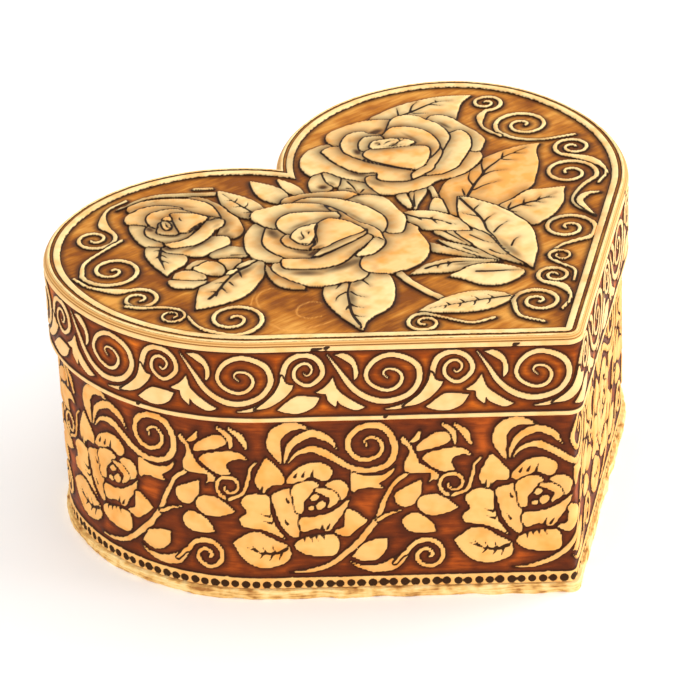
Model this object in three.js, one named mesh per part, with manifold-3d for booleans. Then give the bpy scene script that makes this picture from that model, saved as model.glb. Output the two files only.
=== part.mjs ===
// Heart-shaped birch bark box with a lift-off lid.
// Millimetres, +Z up, standing on Z = 0, the heart's tip towards -Y, the heart centred on X = Y = 0.
import * as THREE from 'three';
import { mergeVertices } from 'three/addons/utils/BufferGeometryUtils.js';
import Module from 'manifold-3d';

const wasm = await Module();
wasm.setup();

// Driving dimensions of the heart line, the middle of the pale border on the lid.
// Each half is a straight side from the tip and three tangent arcs up to the notch. The last arc's radius
// follows from its sweep, so that it always ends on the heart's axis.
const TIP_SLOPE = 39.4;
const SIDE_LENGTH = 70.1;
const FLANK_RADIUS = 50.3;
const FLANK_SWEEP = 67.4;
const SHOULDER_RADIUS = 32.9;
const SHOULDER_SWEEP = 49.5;
const NOTCH_SWEEP = 83.73;

// Driving dimensions of the pieces. A face's place is its distance outward from the heart line.
const BOX_HEIGHT = 70.0;
const BODY_FACE = 1.75;
const WALL_THICKNESS = 2.8;
const RIM_THICKNESS = 1.25;
const RIM_HEIGHT = 19.6;
const BASE_PROUD = 1.0;
const BASE_THICKNESS = 2.3;
const LID_SHEET = 1.0;
const LID_BOARD = 1.6;
const SHEET_SETBACK = 0.4;
const SHEET_BEVEL = 0.8;
const CORNER_RADIUS = 4.0;

// Clearances between the pieces.
const SEAT_GAP = 0.3;
const LID_CLEARANCE = 0.3;

// Driving dimensions of the carving.
const BAND_RELIEF = 0.45;
const LID_RELIEF = 0.6;
const PETAL_STEP = 0.14;
const BITE = 0.3;
const BORDER_WIDTH = 1.4;
const EDGE_LINE_WIDTH = 0.9;
const EDGE_GROOVE = 0.35;
const RIM_LINE = 1.15;
const WALL_MARGIN = 2.8;
const SEAM_MARGIN = 6.0;

// Facets of the outline, the petals and the scrolls.
const OUTLINE_STEP = 7.5;
const FILLET_STEPS = 2;
const PETAL_STEPS = 4;
const SCROLL_STEP = 60;

// A scroll's curl: degrees until it reaches its centre, how late it tightens, and how much it thins. Its tail
// starts at a share of the full width and grows by another.
const FULL_CURL = 640;
const CURL_POWER = 1.15;
const CURL_THINNING = 0.35;
const TAIL_START = 0.45;
const TAIL_GROWTH = 0.5;

// Shares that draw a leaf and a petal: the power that moves a leaf's widest place towards its base, a petal's
// foot as a share of its shortest reach, and the reach of its two ends.
const LEAF_BELLY = 0.8;
const PETAL_FOOT = 0.3;
const PETAL_ENDS = 0.93;

// Small differences in height that keep overlapping motifs apart.
const ROSE_LIFT = 0.1;
const LEAF_STAGGER = 0.02;
const PETAL_STAGGER = 0.015;
const HEART_TIER = 4;

// Least rounding of a corner.
const LEAST_RADIUS = 0.2;

const rad = THREE.MathUtils.degToRad;

// Places worked out from the driving dimensions.
const rimInner = BODY_FACE + LID_CLEARANCE;
const rimFace = rimInner + RIM_THICKNESS;
const rimGround = rimFace - BAND_RELIEF;
const wallGround = BODY_FACE - BAND_RELIEF;
const wallInner = BODY_FACE - WALL_THICKNESS;
const baseEdge = BODY_FACE + BASE_PROUD;
const boardEdge = rimInner - SEAT_GAP;
const sheetFoot = rimFace - SHEET_SETBACK;
const sheetEdge = sheetFoot - SHEET_BEVEL;
const lidGround = BOX_HEIGHT - LID_RELIEF;
const sheetUnder = BOX_HEIGHT - LID_SHEET;
const boardUnder = sheetUnder - LID_BOARD;
const wallTop = boardUnder - SEAT_GAP;
const wallFoot = BASE_THICKNESS + SEAT_GAP;
const marginTop = wallFoot + WALL_MARGIN;
const rimTop = sheetUnder - SEAT_GAP;
const rimFoot = rimTop - RIM_HEIGHT;
const wallFieldTop = rimFoot + RIM_LINE;

// The right half of the heart line: the straight side, then each arc's centre, radius and headings.
const slope = rad(TIP_SLOPE);
const sideEnd = [SIDE_LENGTH * Math.cos(slope), SIDE_LENGTH * Math.sin(slope)];
const arcs = [];
let heading = slope;
let joint = sideEnd;
const sweeps = [[FLANK_RADIUS, FLANK_SWEEP], [SHOULDER_RADIUS, SHOULDER_SWEEP], [null, NOTCH_SWEEP]];
for (const [size, sweep] of sweeps) {
  const end = heading + rad(sweep);
  const radius = size ?? joint[0] / (Math.sin(heading) - Math.sin(end));
  const centre = [joint[0] - radius * Math.sin(heading), joint[1] + radius * Math.cos(heading)];
  arcs.push({ centre, radius, start: heading, end, steps: Math.ceil(radius * (end - heading) / OUTLINE_STEP) });
  joint = [centre[0] + radius * Math.sin(end), centre[1] - radius * Math.cos(end)];
  heading = end;
}

// Radius of the rounding at the tip, so that every band keeps its thickness round the corner.
function tipRadius(offset) {
  return Math.max(LEAST_RADIUS, CORNER_RADIUS + offset - rimFace);
}

// A point of an arc, pushed outward by the offset, at a heading.
function arcPoint(arc, offset, at) {
  const reach = arc.radius + offset;
  return [arc.centre[0] + reach * Math.sin(at), arc.centre[1] - reach * Math.cos(at)];
}

// Heading at which the last arc, pushed outward by the offset, meets the heart's axis.
function notchHeading(offset) {
  const last = arcs[2];
  return Math.PI + Math.asin(last.centre[0] / (last.radius + offset));
}

// The right half of the outline at an offset, from the tip to the notch.
function halfOutline(offset) {
  const radius = tipRadius(offset);
  const corner = -offset / Math.cos(slope);
  const middle = corner + radius / Math.cos(slope);
  const points = [];
  for (let i = 0; i <= FILLET_STEPS; i++) {
    const turn = slope * i / FILLET_STEPS;
    points.push([radius * Math.sin(turn), middle - radius * Math.cos(turn)]);
  }
  arcs.forEach((arc, k) => {
    const end = k === 2 ? notchHeading(offset) : arc.end;
    for (let i = k === 0 ? 0 : 1; i <= arc.steps; i++) {
      points.push(arcPoint(arc, offset, arc.start + (end - arc.start) * i / arc.steps));
    }
  });
  points[points.length - 1][0] = 0;
  return points;
}

// Distance that centres the lid's outline on Y = 0.
const reachY = halfOutline(rimFace).map(([, y]) => y);
const shiftY = -(Math.min(...reachY) + Math.max(...reachY)) / 2;

// The whole outline at an offset, counterclockwise from the tip.
function outline(offset) {
  const right = halfOutline(offset);
  const left = right.slice(1, -1).reverse().map(([x, y]) => [-x, y]);
  return [...right, ...left].map(([x, y]) => [x, y + shiftY]);
}

// A face wrapped round the heart: a place along it, counted from the tip and positive towards +X, gives
// a point and the way outward.
class Wrap {
  constructor(offset) {
    this.offset = offset;
    this.radius = tipRadius(offset);
    this.fillet = this.radius * Math.tan(slope);
    this.side = SIDE_LENGTH + offset * Math.tan(slope);
    this.half = this.side;
    this.spans = arcs.map((arc, k) => {
      const end = k === 2 ? notchHeading(offset) : arc.end;
      const span = { arc, from: this.half, end, length: (arc.radius + offset) * (end - arc.start) };
      this.half += span.length;
      return span;
    });
  }

  at(place) {
    const way = Math.min(Math.abs(place), this.half);
    const mirror = place < 0 ? -1 : 1;
    const corner = -this.offset / Math.cos(slope);
    let point;
    let facing;
    if (way < this.fillet) {
      facing = slope * way / this.fillet;
      const middle = corner + this.radius / Math.cos(slope);
      point = [this.radius * Math.sin(facing), middle - this.radius * Math.cos(facing)];
    } else if (way <= this.side) {
      facing = slope;
      point = [way * Math.cos(slope), corner + way * Math.sin(slope)];
    } else {
      const span = this.spans.findLast((one) => way >= one.from);
      facing = span.arc.start + (way - span.from) / (span.arc.radius + this.offset);
      point = arcPoint(span.arc, this.offset, facing);
    }
    return { x: mirror * point[0], y: point[1] + shiftY, nx: mirror * Math.sin(facing), ny: -Math.cos(facing) };
  }
}

// A closed mesh from points and triangles, as a solid that can be joined and cut.
function solid(points, triangles) {
  const geometry = new THREE.BufferGeometry();
  geometry.setAttribute('position', new THREE.Float32BufferAttribute(points.flat(), 3));
  geometry.setIndex(triangles.flat());
  const merged = mergeVertices(geometry, 1e-4);
  return new wasm.Manifold(new wasm.Mesh({
    numProp: 3,
    vertProperties: new Float32Array(merged.attributes.position.array),
    triVerts: new Uint32Array(merged.index.array),
  }));
}

// Rings of outlines, one for each [offset, height] of a profile, joined by strips.
function rings(profile, closed) {
  const loops = profile.map(([offset, z]) => outline(offset).map(([x, y]) => [x, y, z]));
  const count = loops[0].length;
  const triangles = [];
  const last = closed ? loops.length : loops.length - 1;
  for (let k = 0; k < last; k++) {
    const above = (k + 1) % loops.length;
    for (let i = 0; i < count; i++) {
      const next = (i + 1) % count;
      const [a, b] = [k * count + i, k * count + next];
      const [c, d] = [above * count + next, above * count + i];
      triangles.push([a, b, c], [a, c, d]);
    }
  }
  return { points: loops.flat(), triangles, count, loops };
}

// A band round the heart, from a closed profile that runs up the outside and down the inside.
function bandSolid(profile) {
  const { points, triangles } = rings(profile, true);
  return solid(points, triangles);
}

// A plate, from a profile that runs up its edge, closed by a flat underside and top.
function plateSolid(profile) {
  const { points, triangles, count, loops } = rings(profile, false);
  const flat = (loop) => loop.map(([x, y]) => new THREE.Vector2(x, y));
  const top = (loops.length - 1) * count;
  for (const [a, b, c] of THREE.ShapeUtils.triangulateShape(flat(loops[0]), [])) triangles.push([c, b, a]);
  for (const face of THREE.ShapeUtils.triangulateShape(flat(loops.at(-1)), [])) {
    triangles.push(face.map((i) => top + i));
  }
  return solid(points, triangles);
}

// A raised motif: a flat outline whose top is set in place by a function of (u, v), and whose sides go
// straight down along one way, to a depth below that top.
function raised(shape, place, way, depth) {
  const drawn = shape.map(([u, v]) => new THREE.Vector2(u, v));
  if (THREE.ShapeUtils.area(drawn) < 0) drawn.reverse();
  const faces = THREE.ShapeUtils.triangulateShape(drawn, []);
  const count = drawn.length;
  const top = drawn.map((p) => place(p.x, p.y));
  const points = [...top.map((point) => point.map((value, axis) => value - way[axis] * depth)), ...top];
  const triangles = [];
  for (const [a, b, c] of faces) triangles.push([c, b, a], [a + count, b + count, c + count]);
  for (let i = 0; i < count; i++) {
    const next = (i + 1) % count;
    triangles.push([i, next, next + count], [i, next + count, i + count]);
  }
  return solid(points, triangles);
}

// A leaf from its base to its tip. The bow pushes its middle to the left of that line, and stations say
// how far along each pair of edge points stands.
function leaf(base, tip, width, bow = 0, stations = [0.25, 0.6]) {
  const run = [tip[0] - base[0], tip[1] - base[1]];
  const length = Math.hypot(...run);
  const side = [-run[1] / length, run[0] / length];
  const point = (t, across) => {
    const lift = 4 * bow * t * (1 - t) + across;
    return [base[0] + run[0] * t + side[0] * lift, base[1] + run[1] * t + side[1] * lift];
  };
  const half = (t) => 0.5 * width * Math.sin(Math.PI * t ** LEAF_BELLY);
  const right = stations.map((t) => point(t, -half(t)));
  const left = stations.map((t) => point(t, half(t))).reverse();
  return [base, ...right, tip, ...left];
}

// A petal round a rose's heart between two bearings, with its reach at the first, middle and last one.
function petal(heart, [from, to, first, middle, last]) {
  const outer = [];
  for (let i = 0; i <= PETAL_STEPS; i++) {
    const t = i / PETAL_STEPS;
    const reach = first * (1 - t) * (1 - 2 * t) + middle * 4 * t * (1 - t) + last * t * (2 * t - 1);
    const soft = i === 0 || i === PETAL_STEPS ? PETAL_ENDS : 1;
    const bearing = rad(from + (to - from) * t);
    outer.push([heart[0] + reach * soft * Math.cos(bearing), heart[1] + reach * soft * Math.sin(bearing)]);
  }
  const inner = [to, (from + to) / 2, from].map((bearing) => {
    const reach = PETAL_FOOT * Math.min(first, middle, last);
    return [heart[0] + reach * Math.cos(rad(bearing)), heart[1] + reach * Math.sin(rad(bearing))];
  });
  return [...outer, ...inner];
}

// A rounded patch: an ellipse with its long axis at a bearing.
function patch(centre, long, wide, bearing, corners = 5) {
  const [c, s] = [Math.cos(rad(bearing)), Math.sin(rad(bearing))];
  return Array.from({ length: corners }, (_, i) => {
    const turn = i * 2 * Math.PI / corners;
    const [u, v] = [long * Math.cos(turn), wide * Math.sin(turn)];
    return [centre[0] + u * c - v * s, centre[1] + u * s + v * c];
  });
}

// A ribbon along a path, pointed at its start, with its width at each point.
function ribbon(path, widths) {
  const left = [];
  const right = [];
  path.forEach(([x, y], i) => {
    const before = path[Math.max(i - 1, 0)];
    const after = path[Math.min(i + 1, path.length - 1)];
    const run = [after[0] - before[0], after[1] - before[1]];
    const scale = 0.5 * widths[i] / Math.hypot(...run);
    left.push([x - run[1] * scale, y + run[0] * scale]);
    right.push([x + run[1] * scale, y - run[0] * scale]);
  });
  return [path[0], ...right.slice(1), ...left.slice(1).reverse()];
}

// A scroll: a tail of points, then a spiral that winds in from a bearing through a sweep of degrees. The belly
// is how much wider the tail's last point is.
function scroll({ centre, reach, from, sweep, width, tail = [], belly = 1, step = SCROLL_STEP }) {
  const steps = Math.round(Math.abs(sweep) / step);
  const path = [...tail];
  const share = (i) => (i === tail.length - 1 ? belly : TAIL_START + TAIL_GROWTH * i / tail.length);
  const widths = tail.map((_, i) => width * share(i));
  for (let i = 0; i <= steps; i++) {
    const turned = Math.abs(sweep) * i / steps;
    const out = reach * (1 - (turned / FULL_CURL) ** CURL_POWER);
    const bearing = rad(from + sweep * i / steps);
    path.push([centre[0] + out * Math.cos(bearing), centre[1] + out * Math.sin(bearing)]);
    widths.push(width * (1 - CURL_THINNING * turned / FULL_CURL));
  }
  return ribbon(path, widths);
}

// The lid's flowers are drawn on a heart line 145.2 wide and 122 long, and grow with it.
const LID_DRAWING = { width: 145.2, length: 122.0 };

// Rows of a rose: bearings from and to, reach at the first, middle and last bearing, and its tier.
const middleRose = {
  heart: [-13, 10],
  petals: [
    [256, 330, 19.5, 26, 21, 0], [190, 262, 20, 23.5, 20.5, 0], [118, 192, 18, 20.2, 17, 0],
    [-42, 34, 17, 22.6, 21, 0], [30, 88, 21.2, 22.2, 21, 0],
    [48, 128, 13.5, 20.5, 16, 1], [-42, 80, 12.5, 16.6, 18.5, 1], [188, 325, 17.5, 13, 11, 1],
    [125, 215, 15, 14.6, 11, 2], [-50, 60, 12, 10.8, 14.5, 2],
    [45, 138, 11, 14.5, 10, 3], [140, 205, 10.5, 11.3, 8, 3],
  ],
  centre: [[-20.5, 7], [-5.5, 11], 9.5],
};
const leftRose = {
  heart: [-38, 38.5],
  petals: [
    [125, 228, 10, 10.3, 9.5, 0], [226, 300, 11, 16.6, 16.5, 0], [292, 362, 16, 17, 15.5, 0],
    [0, 95, 15.5, 16.8, 16, 0],
    [60, 132, 11.5, 12.4, 11, 1], [-20, 78, 12.5, 13.2, 13.8, 1], [215, 340, 9.5, 11, 12.5, 1],
    [5, 132, 9, 8.9, 6, 2], [140, 235, 6, 7.3, 7, 2],
  ],
  centre: [[-40, 33.5], [-30, 40], 8],
};
const rightRose = {
  heart: [27, 36],
  petals: [
    [134, 182, 15, 22.5, 23.5, 0], [205, 310, 22, 24.2, 23.8, 0], [300, 376, 23.5, 22.5, 19.5, 0],
    [44, 140, 14, 16.2, 14.5, 0],
    [258, 345, 19, 21.3, 19.3, 1], [140, 252, 14.5, 15.8, 19, 1], [270, 408, 16, 16.3, 15, 1],
    [50, 165, 10.5, 12, 11, 2], [165, 256, 11, 10.5, 14, 2], [265, 410, 14.5, 11.8, 7, 2],
  ],
  centre: [[22, 38], [31, 27], 9],
};

// Rows of a leaf on the lid: base, tip, width and bow.
const lidLeaves = [
  [[-31, 11.5], [-57, 3.6], 9.5, 0.6], [[-52.3, 19], [-47.6, 34], 7.5, -1.2],
  [[-18.5, 27], [-18, 46.5], 7.5, 0], [[-9.6, 29.5], [-9.2, 45], 6.5, 0], [[-4.6, 29.5], [-3.6, 41.6], 3.6, 0],
  [[1, 28], [7.2, 38.3], 6, 0.8], [[7.4, 18.5], [8, 30.8], 6.2, -0.4],
  [[34, 45.5], [60.5, 43.5], 14, 0.6], [[13.5, -2.5], [56, 12.8], 15.5, 1.2],
  [[25, -13], [45.4, -9.3], 12.5, 0.4], [[13.2, -34], [12, -9], 5, -0.6],
  [[12.5, -33.5], [0.2, -11.3], 3.8, 0.4], [[12.3, -33.5], [5, -9.5], 3.2, 0.2],
  [[11.5, -33], [8.4, -5], 2.4, 0], [[6.5, 4.5], [14, -10.5], 7.8, 0.8],
  [[13.2, -34.2], [22.8, 4], 11.5, -1.6], [[10.6, -32.6], [-10, -17.4], 5.8, -1.4],
  [[11, -35], [-4, -24], 8.4, -0.6], [[1, -41], [-19.7, -31.8], 9, -0.4],
  [[-19, -9], [-35, -29.8], 14.5, 0.4], [[-32.4, 9.5], [-33, -6.6], 3.4, -1.4],
  [[-34, 14], [-46, 20.5], 6, -1.2], [[-36, 12.5], [-55.5, 16.5], 7.5, 0],
  [[10.4, 5], [19.2, 13.2], 4, 0], [[12.6, 1.8], [18.6, 8.8], 3.6, 0],
];

// The lid's scrolls.
const lidScrolls = [
  { centre: [-54.6, 46.6], reach: 5.2, from: 0, sweep: -364, width: 1.1, belly: 2.4,
    tail: [[-37.5, 57.3], [-44, 56.3], [-48.8, 51.2]] },
  { centre: [-60.4, 31.3], reach: 7.4, from: 160, sweep: 364, width: 1.2,
    tail: [[-50, 41.8], [-57, 40.4], [-63.4, 38.4]] },
  { centre: [-63.8, 16.2], reach: 4.9, from: 80, sweep: -364, width: 1.1, belly: 2.2,
    tail: [[-69.3, 34.5], [-69, 28.5], [-65.6, 22.8]] },
  { centre: [-53.2, -6], reach: 7.4, from: 225, sweep: 364, width: 1.2, tail: [[-60, 3], [-61.2, -4]] },
  { centre: [-21.9, -36.6], reach: 4.2, from: 50, sweep: 364, width: 1.0,
    tail: [[-8.5, -45.4], [-14, -43.6], [-17.2, -37.5]] },
  { centre: [3.8, -46.4], reach: 5.7, from: 140, sweep: -364, width: 1.2, tail: [[-1.5, -54.5], [-3.6, -48.4]] },
  { centre: [14.7, -39.8], reach: 4.1, from: 190, sweep: -364, width: 1.1, belly: 2,
    tail: [[5.5, -52.7], [10.6, -50], [12.6, -45]] },
  { centre: [32.3, -24.6], reach: 7, from: 270, sweep: 364, width: 1.2, tail: [[20, -31.2], [26, -30.2]] },
  { centre: [51.2, -4], reach: 6.8, from: 300, sweep: 364, width: 1.2,
    tail: [[41.2, -24], [41.6, -16], [48, -11.6]] },
  { centre: [60.9, 5.4], reach: 4.8, from: 190, sweep: -364, width: 1.1, belly: 2.4,
    tail: [[53, -12.6], [58.4, -9.4], [59.6, -2.8]] },
  { centre: [59.8, 22.8], reach: 7.3, from: 180, sweep: -364, width: 1.2,
    tail: [[65.8, 10.2], [58, 13.6], [53.6, 18.4]] },
  { centre: [60.8, 38.4], reach: 4.3, from: 230, sweep: 364, width: 1.1, belly: 2,
    tail: [[51.6, 22], [51.4, 28.4], [54.6, 33.2]] },
];
const lidStem = [[-11.4, -14], [-12.4, -22], [-11.8, -31.5]];
const LID_STEM_WIDTH = 1.8;

// Sets a motif of the lid in its place.
const heartLine = outline(0);
const lineX = heartLine.map(([x]) => x);
const lineY = heartLine.map(([, y]) => y);
const lidGrowX = (Math.max(...lineX) - Math.min(...lineX)) / LID_DRAWING.width;
const lidGrowY = (Math.max(...lineY) - Math.min(...lineY)) / LID_DRAWING.length;
const lidMiddleY = (Math.max(...lineY) + Math.min(...lineY)) / 2;
const onLid = (level) => (x, y) => [x * lidGrowX, lidMiddleY + y * lidGrowY, lidGround + level];

// Joins every motif to the piece that carries it.
function carve(carrier, motifs) {
  return motifs.reduce((sum, motif) => sum.add(motif), carrier);
}

function lidTop() {
  const half = BORDER_WIDTH / 2;
  const plate = plateSolid([
    [boardEdge, boardUnder], [boardEdge, sheetUnder], [sheetFoot, sheetUnder], [sheetEdge, BOX_HEIGHT],
    [sheetEdge - EDGE_LINE_WIDTH, BOX_HEIGHT], [sheetEdge - EDGE_LINE_WIDTH, BOX_HEIGHT - EDGE_GROOVE],
    [half, BOX_HEIGHT - EDGE_GROOVE], [half, BOX_HEIGHT], [-half, BOX_HEIGHT], [-half, lidGround],
  ]);
  const motifs = [];
  const add = (shape, level) => motifs.push(raised(shape, onLid(level), [0, 0, 1], level + BITE));
  lidScrolls.forEach((row) => add(scroll(row), LID_RELIEF));
  add(ribbon(lidStem, lidStem.map(() => LID_STEM_WIDTH)), LID_RELIEF);
  lidLeaves.forEach(([base, tip, width, bow], i) => {
    add(leaf(base, tip, width, bow), LID_RELIEF + LEAF_STAGGER * (i % 4));
  });
  for (const rose of [rightRose, leftRose, middleRose]) {
    rose.petals.forEach((row, i) => {
      add(petal(rose.heart, row), LID_RELIEF + ROSE_LIFT + PETAL_STEP * row[5] + PETAL_STAGGER * (i % 3));
    });
    const [base, tip, width] = rose.centre;
    add(leaf(base, tip, width, 0, [0.2, 0.5, 0.8]), LID_RELIEF + ROSE_LIFT + PETAL_STEP * HEART_TIER);
  }
  return carve(plate, motifs);
}

// The rim's pattern, drawn on a field 17.3 high: places along the rim and above its middle.
const RIM_DRAWING = { height: 17.3, pitch: 33.9, start: -9.1 };
const rimMain = [
  scroll({ centre: [0.3, 1.3], reach: 7.2, from: -90, sweep: 390, width: 1.4, step: 65,
    tail: [[-13.6, 7.6], [-11, 2.6], [-6.6, -3.4]] }),
  scroll({ centre: [15.1, 3], reach: 5.2, from: 185, sweep: -216, width: 1.3, belly: 2.6, step: 72,
    tail: [[-1, -7], [6.4, -4.9], [9.3, -1]] }),
];
const rimFill = [
  leaf([-12.9, 1.6], [-5.8, -6.6], 4, -1.6, [0.4]), leaf([8.2, -6.8], [17.8, -3.6], 4.4, -0.6, [0.45]),
];

// The wall's pattern, drawn on a field 43.7 high: places along the wall and above the pale margin.
const WALL_DRAWING = { height: 43.7, pitch: 51.8, start: -9.2 };
const wallMain = [
  patch([0.2, 29.2], 5.6, 2.4, 4), patch([-5.8, 17.6], 7, 2.9, 100), patch([-12.6, 17.4], 6.6, 3.5, 118),
  patch([-2.2, 21.6], 4.8, 2.7, 62), leaf([-3, 13.4], [9.2, 21.8], 6.6, 0, [0.45]),
  patch([5.9, 23.8], 3.7, 2.6, -60), patch([0.6, 9], 5.2, 3, 0),
  scroll({ centre: [14.4, 35.8], reach: 6.8, from: -95, sweep: 390, width: 1.6, step: 65,
    tail: [[-5.2, 31.4], [0.8, 34.6], [7.6, 31]] }),
];
const wallFill = [
  leaf([-10.6, 23.2], [-9.8, 33.4], 7.6, 0.4, [0.4]), leaf([-5.2, 7.8], [-18.9, 9.9], 9.4, 0, [0.45]),
  leaf([-6.4, 31.6], [0.8, 40.6], 3.8, 3.4, [0.5]), leaf([25, 34.2], [33.4, 40.6], 5.6, 0.4, [0.45]),
  leaf([26.2, 31.6], [37.6, 33], 5, 0.6, [0.5]),
  ribbon([[-5.2, 1.4], [6, 5], [14.6, 15], [22.4, 28.2]], [0.4, 1.5, 1.8, 1.2]),
  leaf([21.8, 19.4], [26, 27], 6.6, 0, [0.35]), leaf([24, 20], [34.2, 18.8], 6.8, 0, [0.35]),
  leaf([9.2, 5.4], [17.8, 10.6], 5, 0.2, [0.5]),
  ribbon([[8.8, 4.2], [15, 2.4], [22.4, 5.6], [26.6, 10.2], [31, 7]], [0.4, 2, 2.6, 1.2, 1]),
];

// Repeats a pattern round a face. The motifs that the seam at the notch or the sharp tip would cut are left
// out, and the filling ones stop where the lobes turn back towards the notch.
function wrapMotifs(face, main, fill, drawing, grow, foot) {
  const pitch = drawing.pitch * grow;
  const start = drawing.start * grow;
  const seam = face.half - SEAM_MARGIN;
  const turn = face.spans[2].from;
  const place = (u, v) => {
    const { x, y } = face.at(u);
    return [x, y, foot + v];
  };
  const motifs = [];
  const count = Math.ceil(face.half / pitch) + 1;
  for (let i = -count; i <= count; i++) {
    for (const shape of [...main, ...fill]) {
      const reach = main.includes(shape) ? seam : turn;
      const drawn = shape.map(([u, v]) => [start + i * pitch + u * grow, v * grow]);
      const along = drawn.map(([u]) => u);
      const [first, last] = [Math.min(...along), Math.max(...along)];
      const overTip = first < 0 && last > 0;
      if (first < -reach || last > reach || overTip) continue;
      const { nx, ny } = face.at((first + last) / 2);
      motifs.push(raised(drawn, place, [nx, ny, 0], BAND_RELIEF + BITE));
    }
  }
  return motifs;
}

function lidRim() {
  const band = bandSolid([
    [rimFace, rimFoot], [rimFace, rimFoot + RIM_LINE], [rimGround, rimFoot + RIM_LINE],
    [rimGround, rimTop - RIM_LINE], [rimFace, rimTop - RIM_LINE], [rimFace, rimTop],
    [rimInner, rimTop], [rimInner, rimFoot],
  ]);
  const grow = (RIM_HEIGHT - 2 * RIM_LINE) / RIM_DRAWING.height;
  const middle = rimFoot + RIM_HEIGHT / 2;
  return carve(band, wrapMotifs(new Wrap(rimFace), rimMain, rimFill, RIM_DRAWING, grow, middle));
}

function bodyWall() {
  const band = bandSolid([
    [BODY_FACE, wallFoot], [BODY_FACE, marginTop], [wallGround, marginTop], [wallGround, wallFieldTop],
    [BODY_FACE, wallFieldTop], [BODY_FACE, wallTop], [wallInner, wallTop], [wallInner, wallFoot],
  ]);
  const grow = (rimFoot - marginTop) / WALL_DRAWING.height;
  return carve(band, wrapMotifs(new Wrap(BODY_FACE), wallMain, wallFill, WALL_DRAWING, grow, marginTop));
}

function basePlate() {
  return plateSolid([[baseEdge, 0], [baseEdge, BASE_THICKNESS]]);
}

// The finishes: colour, roughness and metalness.
const finishes = {
  carvedLid: { color: 0xc98f4a, roughness: 0.62, metalness: 0 },
  stainedBark: { color: 0x9a4f26, roughness: 0.6, metalness: 0 },
  paleBark: { color: 0xe9bd74, roughness: 0.66, metalness: 0 },
};

const box = new THREE.Group();
box.name = 'heart_box';
for (const [name, shape, finish] of [
  ['base_plate', basePlate(), 'paleBark'],
  ['body_wall', bodyWall(), 'stainedBark'],
  ['lid_rim', lidRim(), 'stainedBark'],
  ['lid_top', lidTop(), 'carvedLid'],
]) {
  const { vertProperties, triVerts } = shape.getMesh();
  const geometry = new THREE.BufferGeometry();
  geometry.setAttribute('position', new THREE.Float32BufferAttribute(vertProperties, 3));
  geometry.setIndex(new THREE.Uint32BufferAttribute(triVerts, 1));
  geometry.computeVertexNormals();
  const mesh = new THREE.Mesh(geometry, new THREE.MeshStandardMaterial(finishes[finish]));
  mesh.name = name;
  box.add(mesh);
}

export default box;
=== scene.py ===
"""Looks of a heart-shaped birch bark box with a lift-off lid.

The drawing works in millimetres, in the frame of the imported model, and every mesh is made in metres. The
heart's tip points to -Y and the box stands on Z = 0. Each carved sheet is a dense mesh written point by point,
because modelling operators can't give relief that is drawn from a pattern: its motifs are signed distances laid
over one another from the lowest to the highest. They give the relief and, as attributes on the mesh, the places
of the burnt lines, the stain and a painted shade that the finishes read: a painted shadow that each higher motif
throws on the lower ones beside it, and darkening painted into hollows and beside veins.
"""
from __future__ import annotations

import logging
import math
from dataclasses import dataclass, field
from enum import Enum
from typing import ClassVar, Sequence

import bpy
import numpy as np
from mathutils import Matrix, Vector
from mathutils.geometry import delaunay_2d_cdt


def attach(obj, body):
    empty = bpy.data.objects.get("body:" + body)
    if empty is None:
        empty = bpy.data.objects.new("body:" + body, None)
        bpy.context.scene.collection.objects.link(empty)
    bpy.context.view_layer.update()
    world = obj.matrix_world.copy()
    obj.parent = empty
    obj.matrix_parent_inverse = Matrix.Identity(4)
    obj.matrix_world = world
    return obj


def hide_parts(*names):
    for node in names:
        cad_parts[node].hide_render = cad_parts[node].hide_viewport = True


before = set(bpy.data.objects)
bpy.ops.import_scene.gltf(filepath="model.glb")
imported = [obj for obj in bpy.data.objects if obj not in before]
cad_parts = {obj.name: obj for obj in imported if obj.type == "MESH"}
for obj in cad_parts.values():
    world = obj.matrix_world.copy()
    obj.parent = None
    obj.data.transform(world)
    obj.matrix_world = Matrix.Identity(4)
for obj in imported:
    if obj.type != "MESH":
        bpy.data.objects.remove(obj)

log = logging.getLogger("heart_box")

MM = 0.001
# Noise repeats after this many cells.
LATTICE = 64
# The turn in degrees after which a scroll's radius is gone, the power it shrinks by, and its tail's least width.
FULL_CURL = 640.0
CURL_POWER = 1.15
LEAST_TAIL = 0.75
Point = Sequence[float]


class Lay(Enum):
    """How a finish's grain lies on a piece: flat across it, or wrapped round it along its own map."""

    FLAT = "object"
    WRAPPED = "wrap"


def linear(code: str, alpha: float = 1.0) -> tuple[float, float, float, float]:
    """Turns an sRGB hex colour into linear values.

    Args:
        code: the colour, as six hex digits after a hash.
        alpha: the fourth value.

    Returns:
        The linear colour.
    """
    values = [int(code[i:i + 2], 16) / 255 for i in (1, 3, 5)]
    red, green, blue = [v / 12.92 if v <= 0.04045 else ((v + 0.055) / 1.055) ** 2.4 for v in values]
    return red, green, blue, alpha


def smoothstep(value: np.ndarray) -> np.ndarray:
    """Eases values from 0 to 1, and holds them there outside that range."""
    held = np.clip(value, 0.0, 1.0)
    return held * held * (3.0 - 2.0 * held)


def value_noise(u: np.ndarray, v: np.ndarray, size: float, seed: int) -> np.ndarray:
    """Smooth noise between -1 and 1 on a lattice.

    Args:
        u: first coordinates.
        v: second coordinates.
        size: the lattice's spacing, in the coordinates' unit.
        seed: what the lattice's values are drawn from.

    Returns:
        One value for each place.
    """
    lattice = np.random.default_rng(seed).uniform(-1.0, 1.0, (LATTICE, LATTICE))
    a, b = u / size, v / size
    i, j = np.floor(a).astype(int), np.floor(b).astype(int)
    s, t = smoothstep(a - i), smoothstep(b - j)
    corner = [[lattice[(i + p) % LATTICE, (j + q) % LATTICE] for q in (0, 1)] for p in (0, 1)]
    low = corner[0][0] * (1 - s) + corner[1][0] * s
    high = corner[0][1] * (1 - s) + corner[1][1] * s
    return low * (1 - t) + high * t


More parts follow.
